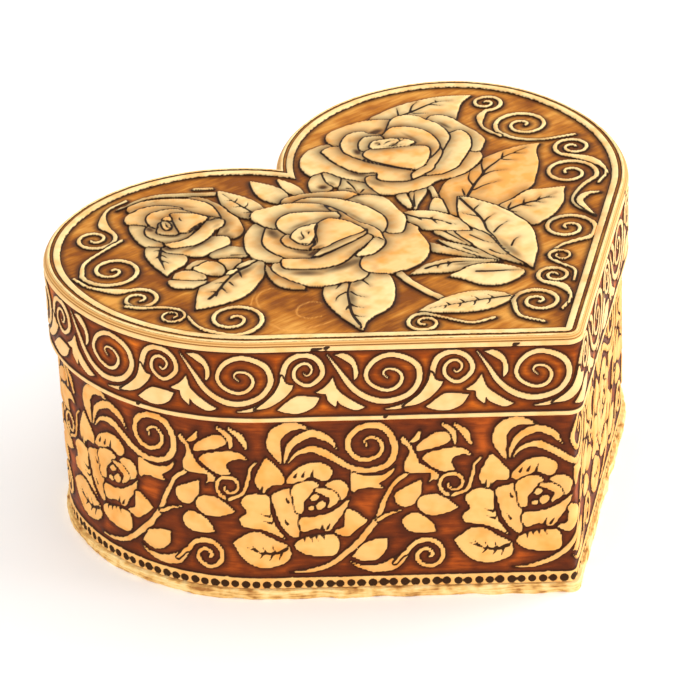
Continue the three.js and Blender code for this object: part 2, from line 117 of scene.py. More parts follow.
def flowing(points: Sequence[Point], closed: bool = False, pieces: int = 6) -> np.ndarray:
    """Draws a smooth line through points; a point with a third value is a corner.

    Args:
        points: places the line goes through.
        closed: whether the line runs back to its first point.
        pieces: straight pieces between two points.

    Returns:
        The line's points.
    """
    corners = [i for i, p in enumerate(points) if len(p) > 2]
    path = [tuple(p[:2]) for p in points]
    if closed and corners:
        path = path[corners[0]:] + path[:corners[0] + 1]
        corners = [i - corners[0] for i in corners] + [len(path) - 1]
    elif closed:
        ring = np.array([path[-1], *path, path[0], path[1]])
        return catmull(ring, pieces)
    stops = sorted({0, *corners, len(path) - 1})
    parts = []
    for first, last in zip(stops[:-1], stops[1:]):
        stroke = np.array(path[first:last + 1])
        ends = np.vstack([2 * stroke[0] - stroke[1], stroke, 2 * stroke[-1] - stroke[-2]])
        parts.append(catmull(ends, pieces))
    if not closed:
        parts.append(np.array([path[-1]]))
    return np.vstack(parts)


def catmull(ring: np.ndarray, pieces: int) -> np.ndarray:
    """Samples a Catmull-Rom curve from its second control point up to its last but one.

    Args:
        ring: control points, with one more before the start and after the end.
        pieces: samples for each stretch.

    Returns:
        The samples, without the last point.
    """
    t = np.linspace(0.0, 1.0, pieces, endpoint=False)[:, None]
    spans = []
    for a, b, c, d in zip(ring[:-3], ring[1:-2], ring[2:-1], ring[3:]):
        spans.append(0.5 * (2 * b + (c - a) * t + (2 * a - 5 * b + 4 * c - d) * t ** 2
                            + (3 * b - a - 3 * c + d) * t ** 3))
    return np.vstack(spans)


def chain_distance(points: np.ndarray, chain: np.ndarray, halves: np.ndarray) -> np.ndarray:
    """Distance from points to a chain of straight pieces that has a half width at each of its points.

    Args:
        points: places, one to a row.
        chain: the chain's points.
        halves: half the width at each point of the chain.

    Returns:
        Distances, negative inside the width.
    """
    starts, run = chain[:-1], np.diff(chain, axis=0)
    length = np.maximum((run ** 2).sum(1), 1e-9)
    rel = points[:, None, :] - starts[None]
    t = np.clip((rel * run[None]).sum(2) / length, 0.0, 1.0)
    gap = np.hypot(rel[..., 0] - t * run[:, 0], rel[..., 1] - t * run[:, 1])
    return (gap - (halves[:-1] + np.diff(halves) * t)).min(1)


@dataclass(frozen=True)
class Blade:
    """A motif with a closed outline."""

    outline: np.ndarray

    def box(self) -> tuple[np.ndarray, np.ndarray]:
        """The outline's lowest and highest corner."""
        return self.outline.min(0), self.outline.max(0)

    def distance(self, points: np.ndarray) -> np.ndarray:
        """Signed distance of points to the outline, negative inside.

        Args:
            points: places, one to a row.

        Returns:
            One distance for each place.
        """
        loop = np.vstack([self.outline, self.outline[:1]])
        gap = chain_distance(points, loop, np.zeros(len(loop)))
        ax, ay = loop[:-1].T
        bx, by = loop[1:].T
        px, py = points[:, 0:1], points[:, 1:2]
        spans = (ay > py) != (by > py)
        rise = np.where(by == ay, 1e-12, by - ay)
        crosses = spans & (px < (bx - ax) * (py - ay) / rise + ax)
        return np.where(crosses.sum(1) % 2 == 1, -gap, gap)


@dataclass(frozen=True)
class Ribbon:
    """A motif along a path, with a width at each of its points."""

    path: np.ndarray
    widths: np.ndarray

    def box(self) -> tuple[np.ndarray, np.ndarray]:
        """The ribbon's lowest and highest corner."""
        reach = self.widths.max() / 2
        return self.path.min(0) - reach, self.path.max(0) + reach

    def distance(self, points: np.ndarray) -> np.ndarray:
        """Signed distance of points to the ribbon's edge, negative inside."""
        return chain_distance(points, self.path, self.widths / 2)


def moved(motif: Blade | Ribbon, along: float) -> Blade | Ribbon:
    """A copy of a motif, moved along its band.

    Args:
        motif: what is copied.
        along: how far it moves.

    Returns:
        The copy.
    """
    shift = np.array((along, 0.0))
    if isinstance(motif, Blade):
        return Blade(motif.outline + shift)
    return Ribbon(motif.path + shift, motif.widths)


def blade(*points: Point) -> Blade:
    """A blade with a smooth outline through points; a point with a third value is a corner."""
    return Blade(flowing(points, closed=True))


def leaf(base: Point, tip: Point, width: float, bow: float = 0.0) -> Blade:
    """A plain leaf, widest a little nearer its base.

    Args:
        base: where it grows from.
        tip: its point.
        width: its greatest width.
        bow: how far its middle is pushed to the left of the line from base to tip.

    Returns:
        The leaf.
    """
    start, run = np.array(base, float), np.subtract(tip, base)
    side = np.array([-run[1], run[0]]) / np.hypot(*run)
    t = np.linspace(0.0, 1.0, 15)[:, None]
    spine = start + run * t + side * 4 * bow * t * (1 - t)
    half = 0.5 * width * np.sin(np.pi * t ** 0.8) ** 0.9
    return Blade(np.vstack([(spine - side * half)[:-1], (spine + side * half)[:0:-1]]))


def oval(centre: Point, long: float, wide: float, bearing: float) -> Blade:
    """An oval patch.

    Args:
        centre: its middle.
        long: half its length.
        wide: half its width.
        bearing: the direction of its length in degrees.

    Returns:
        The patch.
    """
    turn = np.linspace(0.0, 2 * np.pi, 24, endpoint=False)
    u, v = long * np.cos(turn), wide * np.sin(turn)
    c, s = math.cos(math.radians(bearing)), math.sin(math.radians(bearing))
    return Blade(np.column_stack([centre[0] + u * c - v * s, centre[1] + u * s + v * c]))


def ribbon(points: Sequence[Point], widths: Sequence[float]) -> Ribbon:
    """A smooth ribbon through points, with widths spread along it.

    Args:
        points: places the ribbon's middle goes through.
        widths: widths at even steps from its start to its end.

    Returns:
        The ribbon.
    """
    path = flowing(points)
    along = np.concatenate([[0.0], np.cumsum(np.hypot(*np.diff(path, axis=0).T))])
    share = along / along[-1]
    return Ribbon(path, np.interp(share, np.linspace(0.0, 1.0, len(widths)), widths))


def rounded(points: Sequence[Point], pieces: int = 4) -> list[tuple[float, ...]]:
    """Rounds a rough line off, so that it touches the middle of every stretch between two points.

    Args:
        points: the line's points.
        pieces: new points for each old one.

    Returns:
        The rounded line's points.
    """
    path = np.array(points, float)
    middles = (path[:-1] + path[1:]) / 2
    spots = [path[0]]
    for before, corner, after in zip(middles[:-1], path[1:-1], middles[1:]):
        for t in np.linspace(0.0, 1.0, pieces, endpoint=False):
            spots.append(before * (1 - t) ** 2 + 2 * corner * t * (1 - t) + after * t ** 2)
    spots.append(path[-1])
    return [tuple(spot) for spot in spots]


def scroll(centre: Point, reach: float, start: float, sweep: float, width: float,
           tail: Sequence[Point] = (), belly: float = 1.0) -> Ribbon:
    """A scroll: a tail, then a spiral that winds in.

    Args:
        centre: the spiral's middle.
        reach: its outer radius.
        start: the bearing where it begins, in degrees.
        sweep: degrees it winds through, positive turning left.
        width: the line's width.
        tail: points before the spiral.
        belly: how much wider the tail's last point is.

    Returns:
        The scroll.
    """
    turned = np.linspace(0.0, abs(sweep), max(int(abs(sweep) / 14), 8))
    out = reach * (1 - (turned / FULL_CURL) ** CURL_POWER)
    bearing = np.radians(start + math.copysign(1.0, sweep) * turned)
    curl = np.column_stack([centre[0] + out * np.cos(bearing), centre[1] + out * np.sin(bearing)])
    thin = width * (1 - 0.4 * turned / FULL_CURL)
    if not len(tail):
        return Ribbon(curl, thin)
    lead = flowing([*tail, tuple(curl[0])], pieces=7)[:-1]
    share = np.linspace(0.0, 1.0, len(lead))
    swell = np.exp(-((share - 0.72) / 0.2) ** 2) * (belly - 1)
    lead_width = np.maximum(width * (0.35 + 0.65 * share + swell), LEAST_TAIL)
    return Ribbon(np.vstack([lead, curl]), np.concatenate([lead_width, thin]))


@dataclass
class Carving:
    """A carved sheet: where its points lie on the drawing, what the knife left there and the shade painted on it.

    The height is above the ground. The edge is the distance into a raised motif, negative on the ground, and the
    line is the distance to the nearest burnt line. Painted shade, golden tint and pale hairlines run from 0 to 1; the
    painted shade darkens lower motifs beside higher ones and in hollows. A cut wall is `wall` wide. Lengths are in
    millimetres.
    """

    u: np.ndarray
    v: np.ndarray
    wall: float = 0.42
    height: np.ndarray = field(init=False)
    edge: np.ndarray = field(init=False)
    line: np.ndarray = field(init=False)
    painted_shade: np.ndarray = field(init=False)
    tint: np.ndarray = field(init=False)
    hair: np.ndarray = field(init=False)

    FAR = 9.0
    # How far, in millimetres, the painted shadow that a higher motif throws on lower ones reaches.
    CAST = 2.3
    BURN = 0.25
    RIM_CLEAR = 0.26
    RIM_BURN = 0.14
    PLAIN_PLY = 1.5

    def __post_init__(self) -> None:
        """Starts as bare ground."""
        self.height, self.painted_shade, self.tint, self.hair = np.zeros((4, len(self.u)))
        self.edge = np.full(len(self.u), -self.FAR)
        self.line = np.full(len(self.u), self.FAR)

    def near(self, motif: Blade | Ribbon, margin: float) -> np.ndarray:
        """Finds the points in a motif's box, widened by a margin.

        Args:
            motif: the motif.
            margin: how far beyond its box the points may lie.

        Returns:
            The points' indexes.
        """
        low, high = motif.box()
        inside = (self.u > low[0] - margin) & (self.u < high[0] + margin)
        inside &= (self.v > low[1] - margin) & (self.v < high[1] + margin)
        return np.flatnonzero(inside)

    def lay(self, at: np.ndarray, gap: np.ndarray, level: float, tint: float, cast: float) -> None:
        """Lays a motif over what is already there.

        Args:
            at: indexes of the points near it.
            gap: their signed distances to its outline.
            level: its height above the ground.
            tint: how golden it is.
            cast: how dark the painted shadow it throws on lower motifs beside it is.
        """
        rise = smoothstep(0.5 - gap / self.wall)
        self.height[at] = self.height[at] * (1 - rise) + level * rise
        inside = gap < 0
        self.line[at] = np.where(inside, self.RIM_CLEAR - gap,
                                 np.minimum(self.line[at], np.abs(gap - self.RIM_BURN)))
        # Painted shadow: darkens what lies just outside the motif's edge, fading away from it; inside, the motif is
        # clear of shade.
        fall = cast * np.exp(-(np.maximum(gap, 0.0) / self.CAST) ** 1.4)
        self.painted_shade[at] = np.where(inside, 0.0, np.maximum(self.painted_shade[at], fall))
        self.tint[at] = np.where(inside, tint, self.tint[at])
        self.edge[at] = np.maximum(self.edge[at], -gap)

    def gap(self, motif: Blade | Ribbon, margin: float) -> tuple[np.ndarray, np.ndarray]:
        """The points near a motif and their signed distances to its outline."""
        at = self.near(motif, margin)
        return at, motif.distance(np.column_stack([self.u[at], self.v[at]]))

    def press(self, motif: Blade | Ribbon, level: float, tint: float = 0.0, cast: float = 0.6) -> None:
        """Raises a motif; see lay for what each value means."""
        at, gap = self.gap(motif, 6.0)
        if len(at):
            self.lay(at, gap, level, tint, cast)

    def score(self, motif: Ribbon, depth: float = 0.14, painted_shade_beside: float = 0.0) -> None:
        """Burns a line into what is there.

        Args:
            motif: the line and its widths.
            depth: how deep it is cut.
            painted_shade_beside: how dark the painted shade beside it is.
        """
        at, gap = self.gap(motif, 3.0)
        self.line[at] = np.minimum(self.line[at], gap + self.BURN)
        self.height[at] -= depth * np.exp(-(np.maximum(gap, 0.0) / 0.2) ** 2)
        # Painted shade beside the burnt line, fading away from it.
        if painted_shade_beside:
            fall = painted_shade_beside * np.exp(-(np.maximum(gap, 0.0) / 1.1) ** 1.3)
            self.painted_shade[at] = np.maximum(self.painted_shade[at], fall)

    def paint_hollow_shade(self, centre: Point, long: float, wide: float, bearing: float, dark: float) -> None:
        """Paints shade into a hollow of a raised motif, and sinks the hollow a little.

        Args:
            centre: its middle.
            long: half its length.
            wide: half its width.
            bearing: the direction of its length in degrees.
            dark: how dark its middle is.
        """
        c, s = math.cos(math.radians(bearing)), math.sin(math.radians(bearing))
        du, dv = self.u - centre[0], self.v - centre[1]
        reach = ((du * c + dv * s) / long) ** 2 + ((dv * c - du * s) / wide) ** 2
        raised = self.edge > 0
        # Painted shade on raised motifs only; the hollow also sinks a little.
        self.painted_shade = np.maximum(self.painted_shade, np.where(raised, dark * np.exp(-0.8 * reach ** 1.4), 0.0))
        self.height -= np.where(raised, 0.1 * dark * np.exp(-reach), 0.0)

    def scratch(self, motif: Ribbon, pale: float) -> None:
        """Scratches a pale hairline into the ground."""
        at, gap = self.gap(motif, 2.0)
        self.hair[at] = np.maximum(self.hair[at], pale * smoothstep(1.0 - (gap + 0.1) / 0.35))

    def veins(self, base: Point, tip: Point, bow: float, width: float, pairs: int = 4) -> None:
        """Scores a leaf's midrib and its side veins.

        Args:
            base: the leaf's base.
            tip: the leaf's tip.
            bow: the leaf's bow.
            width: the leaf's width.
            pairs: side veins on each side.
        """
        start, run = np.array(base, float), np.subtract(tip, base)
        length = float(np.hypot(*run))
        ahead, side = run / length, np.array([-run[1], run[0]]) / length

        def spine(t: float) -> np.ndarray:
            """A place on the midrib."""
            return start + run * t + side * 4 * bow * t * (1 - t)

        middle = np.array([spine(t) for t in np.linspace(0.04, 0.88, 14)])
        # The midrib gets painted shade beside it.
        self.score(Ribbon(middle, np.linspace(0.62, 0.18, 14)), painted_shade_beside=0.42)
        for k in range(pairs):
            for hand in (-1.0, 1.0):
                t = 0.2 + 0.62 * (k + 0.28 * (hand > 0)) / pairs
                reach = 0.3 * width * math.sin(math.pi * min(t + 0.08, 1.0) ** 0.8)
                foot = spine(t)
                end = foot + hand * side * reach + ahead * reach * 0.75
                middle_point = foot + hand * side * reach * 0.62 + ahead * reach * 0.25
                twig = flowing([tuple(foot), tuple(middle_point), tuple(end)], pieces=3)
                self.score(Ribbon(twig, np.linspace(0.5, 0.05, len(twig))))

    def values(self, ply: np.ndarray, plain: int) -> dict[str, np.ndarray]:
        """What the finishes read at each point, by name.

        Args:
            ply: how far into the cut layers each carved point lies.
            plain: how many plain points follow the carved ones.

        Returns:
            One list of numbers for each name.
        """
        after = {"edge": 1.0, "line": self.FAR, "painted_shade": 0.0, "tint": 0.0, "hair": 0.0, "ply": self.PLAIN_PLY}
        carved = {"ply": ply, **{name: getattr(self, name) for name in after if name != "ply"}}
        return {name: np.concatenate([carved[name], np.full(plain, value)]) for name, value in after.items()}


@dataclass(frozen=True)
class HeartLine:
    """The heart: the middle of the pale border on the lid, and every outline parallel to it.

    Each half is a rounding at the tip, a straight side and three tangent arcs up to the notch.
    """

    tip_slope: float = math.radians(39.4)
    side_length: float = 70.1
    flank_radius: float = 50.3
    flank_sweep: float = math.radians(67.4)
    shoulder_radius: float = 32.9
    shoulder_sweep: float = math.radians(49.5)
    notch_sweep: float = math.radians(83.73)
    tip_rounding: float = 0.7
    least_rounding: float = 0.2
    shift: float = 0.0

    def arcs(self) -> list[tuple[float, float, float, float, float]]:
        """The three arcs of the right half.

        Returns:
            Centre x and y, radius, first and last heading of each.
        """
        heading = self.tip_slope
        x, y = self.side_length * math.cos(heading), self.side_length * math.sin(heading)
        rows = []
        sizes = ((self.flank_radius, self.flank_sweep), (self.shoulder_radius, self.shoulder_sweep),
                 (0.0, self.notch_sweep))
        for size, sweep in sizes:
            end = heading + sweep
            radius = size or x / (math.sin(heading) - math.sin(end))
            cx, cy = x - radius * math.sin(heading), y + radius * math.cos(heading)
            rows.append((cx, cy, radius, heading, end))
            x, y = cx + radius * math.sin(end), cy - radius * math.cos(end)
            heading = end
        return rows

    def spans(self, offset: float) -> np.ndarray:
        """Measures one half of the outline at an offset.

        Args:
            offset: how far outside the heart line.

        Returns:
            The lengths of the rounding, the side and the three arcs.
        """
        radius = max(self.least_rounding, self.tip_rounding + offset)
        side = self.side_length + offset * math.tan(self.tip_slope) - radius * math.tan(self.tip_slope)
        arcs = [(r + offset) * (end - start) for _, _, r, start, end in self.arcs()[:2]]
        cx, _, r, start, _ = self.arcs()[2]
        arcs.append((r + offset) * (math.pi + math.asin(cx / (r + offset)) - start))
        return np.array([radius * self.tip_slope, side, *arcs])

    def half(self, offset: float) -> float:
        """Length of one half at an offset."""
        return float(self.spans(offset).sum())

    def place(self, station: np.ndarray, face: float, offset: np.ndarray) -> tuple[np.ndarray, np.ndarray]:
        """Points of the outline at an offset, which may differ from point to point.

        Args:
            station: places along the outline at the face, from the tip, positive towards +X.
            face: the offset that the stations are measured at.
            offset: each point's own offset.

        Returns:
            The x and the y of each point.
        """
        offset = np.broadcast_to(np.asarray(offset, float), station.shape)
        spans = self.spans(face)
        ends = np.cumsum(spans)
        way = np.minimum(np.abs(station), ends[-1])
        piece = np.minimum(np.searchsorted(ends, way, side="left"), 4)
        share = np.clip((way - (ends - spans)[piece]) / spans[piece], 0.0, 1.0)
        sin, cos = math.sin(self.tip_slope), math.cos(self.tip_slope)
        radius = np.maximum(self.least_rounding, self.tip_rounding + offset)
        middle = (radius - offset) / cos
        turn = self.tip_slope * share
        x = np.where(piece == 0, radius * np.sin(turn), 0.0)
        y = np.where(piece == 0, middle - radius * np.cos(turn), 0.0)
        start = radius * sin, middle - radius * cos
        end = self.side_length * cos + offset * sin, self.side_length * sin - offset * cos
        x = np.where(piece == 1, start[0] + (end[0] - start[0]) * share, x)
        y = np.where(piece == 1, start[1] + (end[1] - start[1]) * share, y)
        for k, (cx, cy, r, first, last) in enumerate(self.arcs()):
            stop = math.pi + np.arcsin(np.clip(cx / (r + offset), -1.0, 1.0)) if k == 2 else last
            heading = first + (stop - first) * share
            x = np.where(piece == k + 2, cx + (r + offset) * np.sin(heading), x)
            y = np.where(piece == k + 2, cy - (r + offset) * np.cos(heading), y)
        x = np.where((piece == 4) & (share >= 1.0), 0.0, x)
        return np.where(station < 0, -x, x), y + self.shift

    def offset_of(self, x: np.ndarray, y: np.ndarray) -> np.ndarray:
        """Measures how far outside the heart line points lie, exactly near the line.

        Args:
            x: their places across the heart.
            y: their places along it.

        Returns:
            The distances, negative inside.
        """
        px, py = np.abs(x), y - self.shift
        sin, cos = math.sin(self.tip_slope), math.cos(self.tip_slope)
        along = px * cos + py * sin
        result = np.where(along <= self.side_length, px * sin - py * cos, -np.inf)
        for k, (cx, cy, r, first, last) in enumerate(self.arcs()):
            heading = np.arctan2(px - cx, cy - py) % (2 * math.pi)
            stop = 1.5 * math.pi if k == 2 else last
            inside = (heading >= first) & (heading <= stop)
            result = np.maximum(result, np.where(inside, np.hypot(px - cx, py - cy) - r, -np.inf))
        return result


@dataclass(frozen=True)
class BoxSizes:
    """Sizes shared by the pieces, in millimetres; faces are given by their distance from the heart line."""

    height: float = 70.0
    lid_relief: float = 0.6
    band_relief: float = 0.45
    rim_face: float = 3.3
    rim_inner: float = 2.05
    rim_foot: float = 49.1
    rim_top: float = 68.7
    rim_line: float = 1.15
    wall_face: float = 1.75
    wall_inner: float = -1.05
    wall_foot: float = 2.6
    wall_top: float = 67.1
    margin_top: float = 5.4
    base_edge: float = 2.75
    base_top: float = 2.3
    sheet_under: float = 69.0
    board_under: float = 67.4
    board_edge: float = 1.75

    @property
    def lid_ground(self) -> float:
        """Height of the lid's ground."""
        return self.height - self.lid_relief


def mesh_object(name: str, points: np.ndarray, faces: Sequence[Sequence[int]] | np.ndarray,
                values: dict[str, np.ndarray], wrap: np.ndarray | None = None) -> bpy.types.Object:
    """Makes a smooth-shaded mesh object with one attribute for each named list of values.

    Args:
        name: the object's name.
        points: places in metres.
        faces: corners of each face.
        values: numbers at each point, by the attribute's name.
        wrap: the place of every face corner on the piece's own map, in metres.

    Returns:
        The object, at the origin.
    """
    mesh = bpy.data.meshes.new(name)
    mesh.from_pydata(points.tolist(), [], [list(map(int, face)) for face in faces])
    for key, numbers in values.items():
        attribute = mesh.attributes.new(key, "FLOAT", "POINT")
        attribute.data.foreach_set("value", np.ascontiguousarray(numbers, np.float32))
    if wrap is not None:
        layer = mesh.uv_layers.new(name="wrap")
        layer.uv.foreach_set("vector", np.ascontiguousarray(wrap, np.float32).ravel())
    mesh.shade_smooth()
    mesh.set_sharp_from_angle(angle=math.radians(70))
    mesh.update()
    piece = bpy.data.objects.new(name, mesh)
    bpy.context.scene.collection.objects.link(piece)
    return piece


@dataclass(frozen=True)
class CarvedBark:
    """Carved, stained and varnished birch bark.

    Bark peels in thin tan layers with short darker pores along its grain. Cut back, the ground takes a
    red-brown stain that clouds and streaks, darker in a halo beside each motif. What stands up stays cream to
    golden, with painted brown shade where higher motifs overlap it and in its hollows, and the knife's edge is
    burnt nearly black. The layers show on a cut edge. A thin varnish gives all of it a soft gloss.
    """

    name: str
    lay: Lay
    ground: tuple[str, str, str]
    halo: str
    raised: str
    golden: str
    # The colour of the painted shade on raised motifs.
    painted_shade_tone: str
    burnt: str
    halo_width: float = 2.4
    outline: float = 0.85
    roughness: float = 0.5
    coat: float = 0.02

    def material(self) -> bpy.types.Material:
        """Builds the material.

        Returns:
            The material, which reads the carving's attributes.
        """
        skin = Skin(self.name)
        where = skin.coordinates(self.lay)
        edge, line, painted_shade, tint, ply, hair = (
            skin.add("ShaderNodeAttribute", {"attribute_name": name}, {}).outputs["Fac"]
            for name in ("edge", "line", "painted_shade", "tint", "ply", "hair"))
        ragged, clouds, blotches, pores = (
            skin.add("ShaderNodeTexNoise", {}, {"Vector": where, "Scale": 1 / (size * MM), "Detail": detail,
                                                "Roughness": rough}).outputs[0]
            for size, detail, rough in ((0.7, 1.0, 0.5), (16, 3.0, 0.55), (5, 2.0, 0.5), (0.45, 2.0, 0.5)))
        stretch = skin.add("ShaderNodeMapping", {}, {"Vector": where, "Scale": (0.16, 1.0, 1.0)})
        streaks = skin.add("ShaderNodeTexNoise", {}, {"Vector": stretch.outputs[0], "Scale": 1 / (1.3 * MM),
                                                     "Detail": 4.0, "Roughness": 0.6}).outputs[0]
        wander = skin.add("ShaderNodeMath", {"operation": "MULTIPLY_ADD"}, {0: ragged, 1: 0.3, 2: -0.15})
        edge = skin.add("ShaderNodeMath", {"operation": "ADD"}, {0: edge, 1: wander.outputs[0]}).outputs[0]

        halo, outline, burn, raised = (
            skin.add("ShaderNodeMapRange", {"interpolation_type": "SMOOTHSTEP"},
                     {"Value": value, "From Min": low, "From Max": high, "To Min": first, "To Max": last}).outputs[0]
            for value, low, high, first, last in (
                (edge, -self.halo_width, -0.3, 0.0, 0.85), (edge, -0.5, -0.26, 0.0, self.outline),
                (line, 0.22, 0.38, 0.97, 0.0), (edge, -0.16, 0.0, 0.0, 1.0)))
        blotched, grain, shade_patches, gloss, on_edge = (
            skin.add("ShaderNodeMapRange", {},
                     {"Value": value, "From Min": low, "From Max": high, "To Min": first, "To Max": last}).outputs[0]
            for value, low, high, first, last in (
                (blotches, 0.45, 0.75, 0.0, 0.75), (streaks, 0.3, 0.75, 0.0, 0.16), (clouds, 0.35, 0.62, 0.65, 1.0),
                (streaks, 0.3, 0.7, self.roughness - 0.07, self.roughness + 0.1), (ply, 0.01, 0.06, 0.0, 1.0)))

        mixed = skin.add("ShaderNodeMath", {"operation": "MULTIPLY_ADD"}, {0: streaks, 1: 0.55, 2: clouds})
        stain = skin.add("ShaderNodeValToRGB", {}, {"Fac": mixed.outputs[0]})
        skin.ramp(stain, ((0.6, self.ground[0]), (0.78, self.ground[1]), (0.96, self.ground[2])))
        cut = skin.coats(stain.outputs[0], ((hair, self.golden), (halo, self.halo), (outline, self.burnt)))

        gold = skin.add("ShaderNodeMath", {"operation": "MULTIPLY_ADD", "use_clamp": True},
                        {0: tint, 1: 0.8, 2: blotched})
        # Painted shade, broken into patches by the clouds, darkens the raised motifs.
        painted_shade_tone = skin.add("ShaderNodeMath", {"operation": "MULTIPLY"}, {0: painted_shade, 1: shade_patches})
        standing = skin.coats(linear(self.raised), ((gold.outputs[0], self.golden), (grain, self.golden),
                                                    (painted_shade_tone.outputs[0], self.painted_shade_tone), (burn, self.burnt)))

        layers = skin.add("ShaderNodeTexNoise", {"noise_dimensions": "1D"}, {"W": ply, "Scale": 5.5, "Detail": 1.0})
        peel = skin.add("ShaderNodeValToRGB", {}, {"Fac": layers.outputs[0]})
        skin.ramp(peel, ((0.32, "#7A4522"), (0.45, "#C88A45"), (0.6, "#EFC079"), (0.72, "#A9642F")))
        colour = skin.coats(cut, ((raised, standing), (on_edge, peel.outputs[0])))

        tooth = skin.add("ShaderNodeMath", {"operation": "MULTIPLY_ADD"}, {0: streaks, 1: 1.4, 2: pores})
        bump = skin.add("ShaderNodeBump", {}, {"Height": tooth.outputs[0], "Strength": 0.32, "Distance": 0.12 * MM})
        skin.finish(colour, gloss, bump.outputs[0], self.coat)
        return skin.material


@dataclass(frozen=True)
class RawBark:
    """Undyed bark and glued bark board: a pale tan face whose cut edge shows its layers."""

    name: str
    lay: Lay
    pale: str
    tan: str
    dark: str
    roughness: float = 0.62

    def material(self) -> bpy.types.Material:
        """Builds the material.

        Returns:
            The material.
        """
        skin = Skin(self.name)
        where = skin.coordinates(self.lay)
        clouds = skin.add("ShaderNodeTexNoise", {}, {"Vector": where, "Scale": 1 / (4 * MM), "Detail": 3.0})
        flat = skin.add("ShaderNodeMapping", {}, {"Vector": where, "Scale": (0.12, 0.12, 1.0)})
        layers = skin.add("ShaderNodeTexNoise", {}, {"Vector": flat.outputs[0], "Scale": 1 / (0.5 * MM), "Detail": 2.0})
        mixed = skin.add("ShaderNodeMath", {"operation": "MULTIPLY_ADD"},
                         {0: layers.outputs[0], 1: 0.7, 2: clouds.outputs[0]})
        tone = skin.add("ShaderNodeValToRGB", {}, {"Fac": mixed.outputs[0]})
        skin.ramp(tone, ((0.6, self.dark), (0.78, self.tan), (0.95, self.pale)))
        bump = skin.add("ShaderNodeBump", {}, {"Height": layers.outputs[0], "Strength": 0.5, "Distance": 0.15 * MM})
        skin.finish(tone.outputs[0], self.roughness, bump.outputs[0], 0.0)
        return skin.material


class Skin:
    """A material under construction."""

    def __init__(self, name: str) -> None:
        """Starts an empty node tree.

        Args:
            name: the material's name.
        """
        self.material = bpy.data.materials.new(name)
        self.material.use_nodes = True
        self.tree = self.material.node_tree
        self.tree.nodes.clear()

    def add(self, kind: str, settings: dict[str, object], links: dict[str | int, object]) -> bpy.types.Node:
        """Adds a node.

        Args:
            kind: the node's type.
            settings: its own properties.
            links: for each input, the socket that feeds it or its constant value.

        Returns:
            The node.
        """
        node = self.tree.nodes.new(kind)
        for key, value in settings.items():
            setattr(node, key, value)
        for key, value in links.items():
            if isinstance(value, bpy.types.NodeSocket):
                self.tree.links.new(value, node.inputs[key])
            else:
                node.inputs[key].default_value = value
        return node

    def coordinates(self, lay: Lay) -> bpy.types.NodeSocket:
        """Where a pattern is read: across the object, or along the piece's own map."""
        if lay is Lay.FLAT:
            return self.add("ShaderNodeTexCoord", {}, {}).outputs["Object"]
        return self.add("ShaderNodeUVMap", {"uv_map": lay.value}, {}).outputs["UV"]

    def coats(self, base: object, over: Sequence[tuple[object, object]]) -> bpy.types.NodeSocket:
        """Lays colours over one another.

        Args:
            base: the lowest colour.
            over: for each coat, how much of it shows and its colour, as a hex code or a socket.

        Returns:
            The colour on top.
        """
        for share, colour in over:
            above = linear(colour) if isinstance(colour, str) else colour
            base = self.add("ShaderNodeMix", {"data_type": "RGBA"}, {0: share, 6: base, 7: above}).outputs[2]
        return base

    def ramp(self, node: bpy.types.Node, stops: Sequence[tuple[float, str]]) -> None:
        """Sets a colour ramp's stops.

        Args:
            node: the colour ramp.
            stops: places from 0 to 1 and their hex colours.
        """
        elements = node.color_ramp.elements
        while len(elements) < len(stops):
            elements.new(0.5)
        for element, (at, code) in zip(elements, stops):
            element.position = at
            element.color = linear(code)

    def finish(self, colour: object, roughness: object, normal: object, coat: float) -> None:
        """Adds the shader.

        Args:
            colour: the base colour.
            roughness: the roughness.
            normal: the bumped normal.
            coat: the weight of the varnish.
        """
        shader = self.add("ShaderNodeBsdfPrincipled", {}, {"Base Color": colour, "Roughness": roughness,
                                                           "Normal": normal, "IOR": 1.5, "Specular IOR Level": 0.06,
                                                           "Coat Weight": coat, "Coat Roughness": 0.35})
        self.add("ShaderNodeOutputMaterial", {}, {"Surface": shader.outputs[0]})


@dataclass(frozen=True)
class Rose:
    """A rose seen from above.

    Each row is a petal: its tier, the points of its outline and, where shade is painted into a hollow of it, the
    hollow's place, half length, half width, bearing and darkness of the painted shade. Rows run from the lowest to
    the highest.
    """

    petals: Sequence[tuple]
    strokes: Sequence[Sequence[Point]]

    def carve(self, sheet: Carving, level: float, step: float) -> None:
        """Lays the rose on a sheet from its outer petals to its heart.

        Args:
            sheet: the sheet.
            level: height of the outer petals above the ground.
            step: how much each tier stands above the one below.
        """
        for i, (tier, points, *hollows) in enumerate(self.petals):
            height = level + step * tier + 0.012 * (i % 3)
            # Each petal throws a strong painted shadow on the petals below it.
            sheet.press(blade(*points), height, tint=0.12 + 0.4 * (i % 2), cast=0.95)
            for hollow in hollows:
                sheet.paint_hollow_shade(*hollow)
        for points in self.strokes:
            # Burnt strokes with painted shade beside them.
            sheet.score(ribbon(points, (0.1, 0.45, 0.1)), painted_shade_beside=0.3)


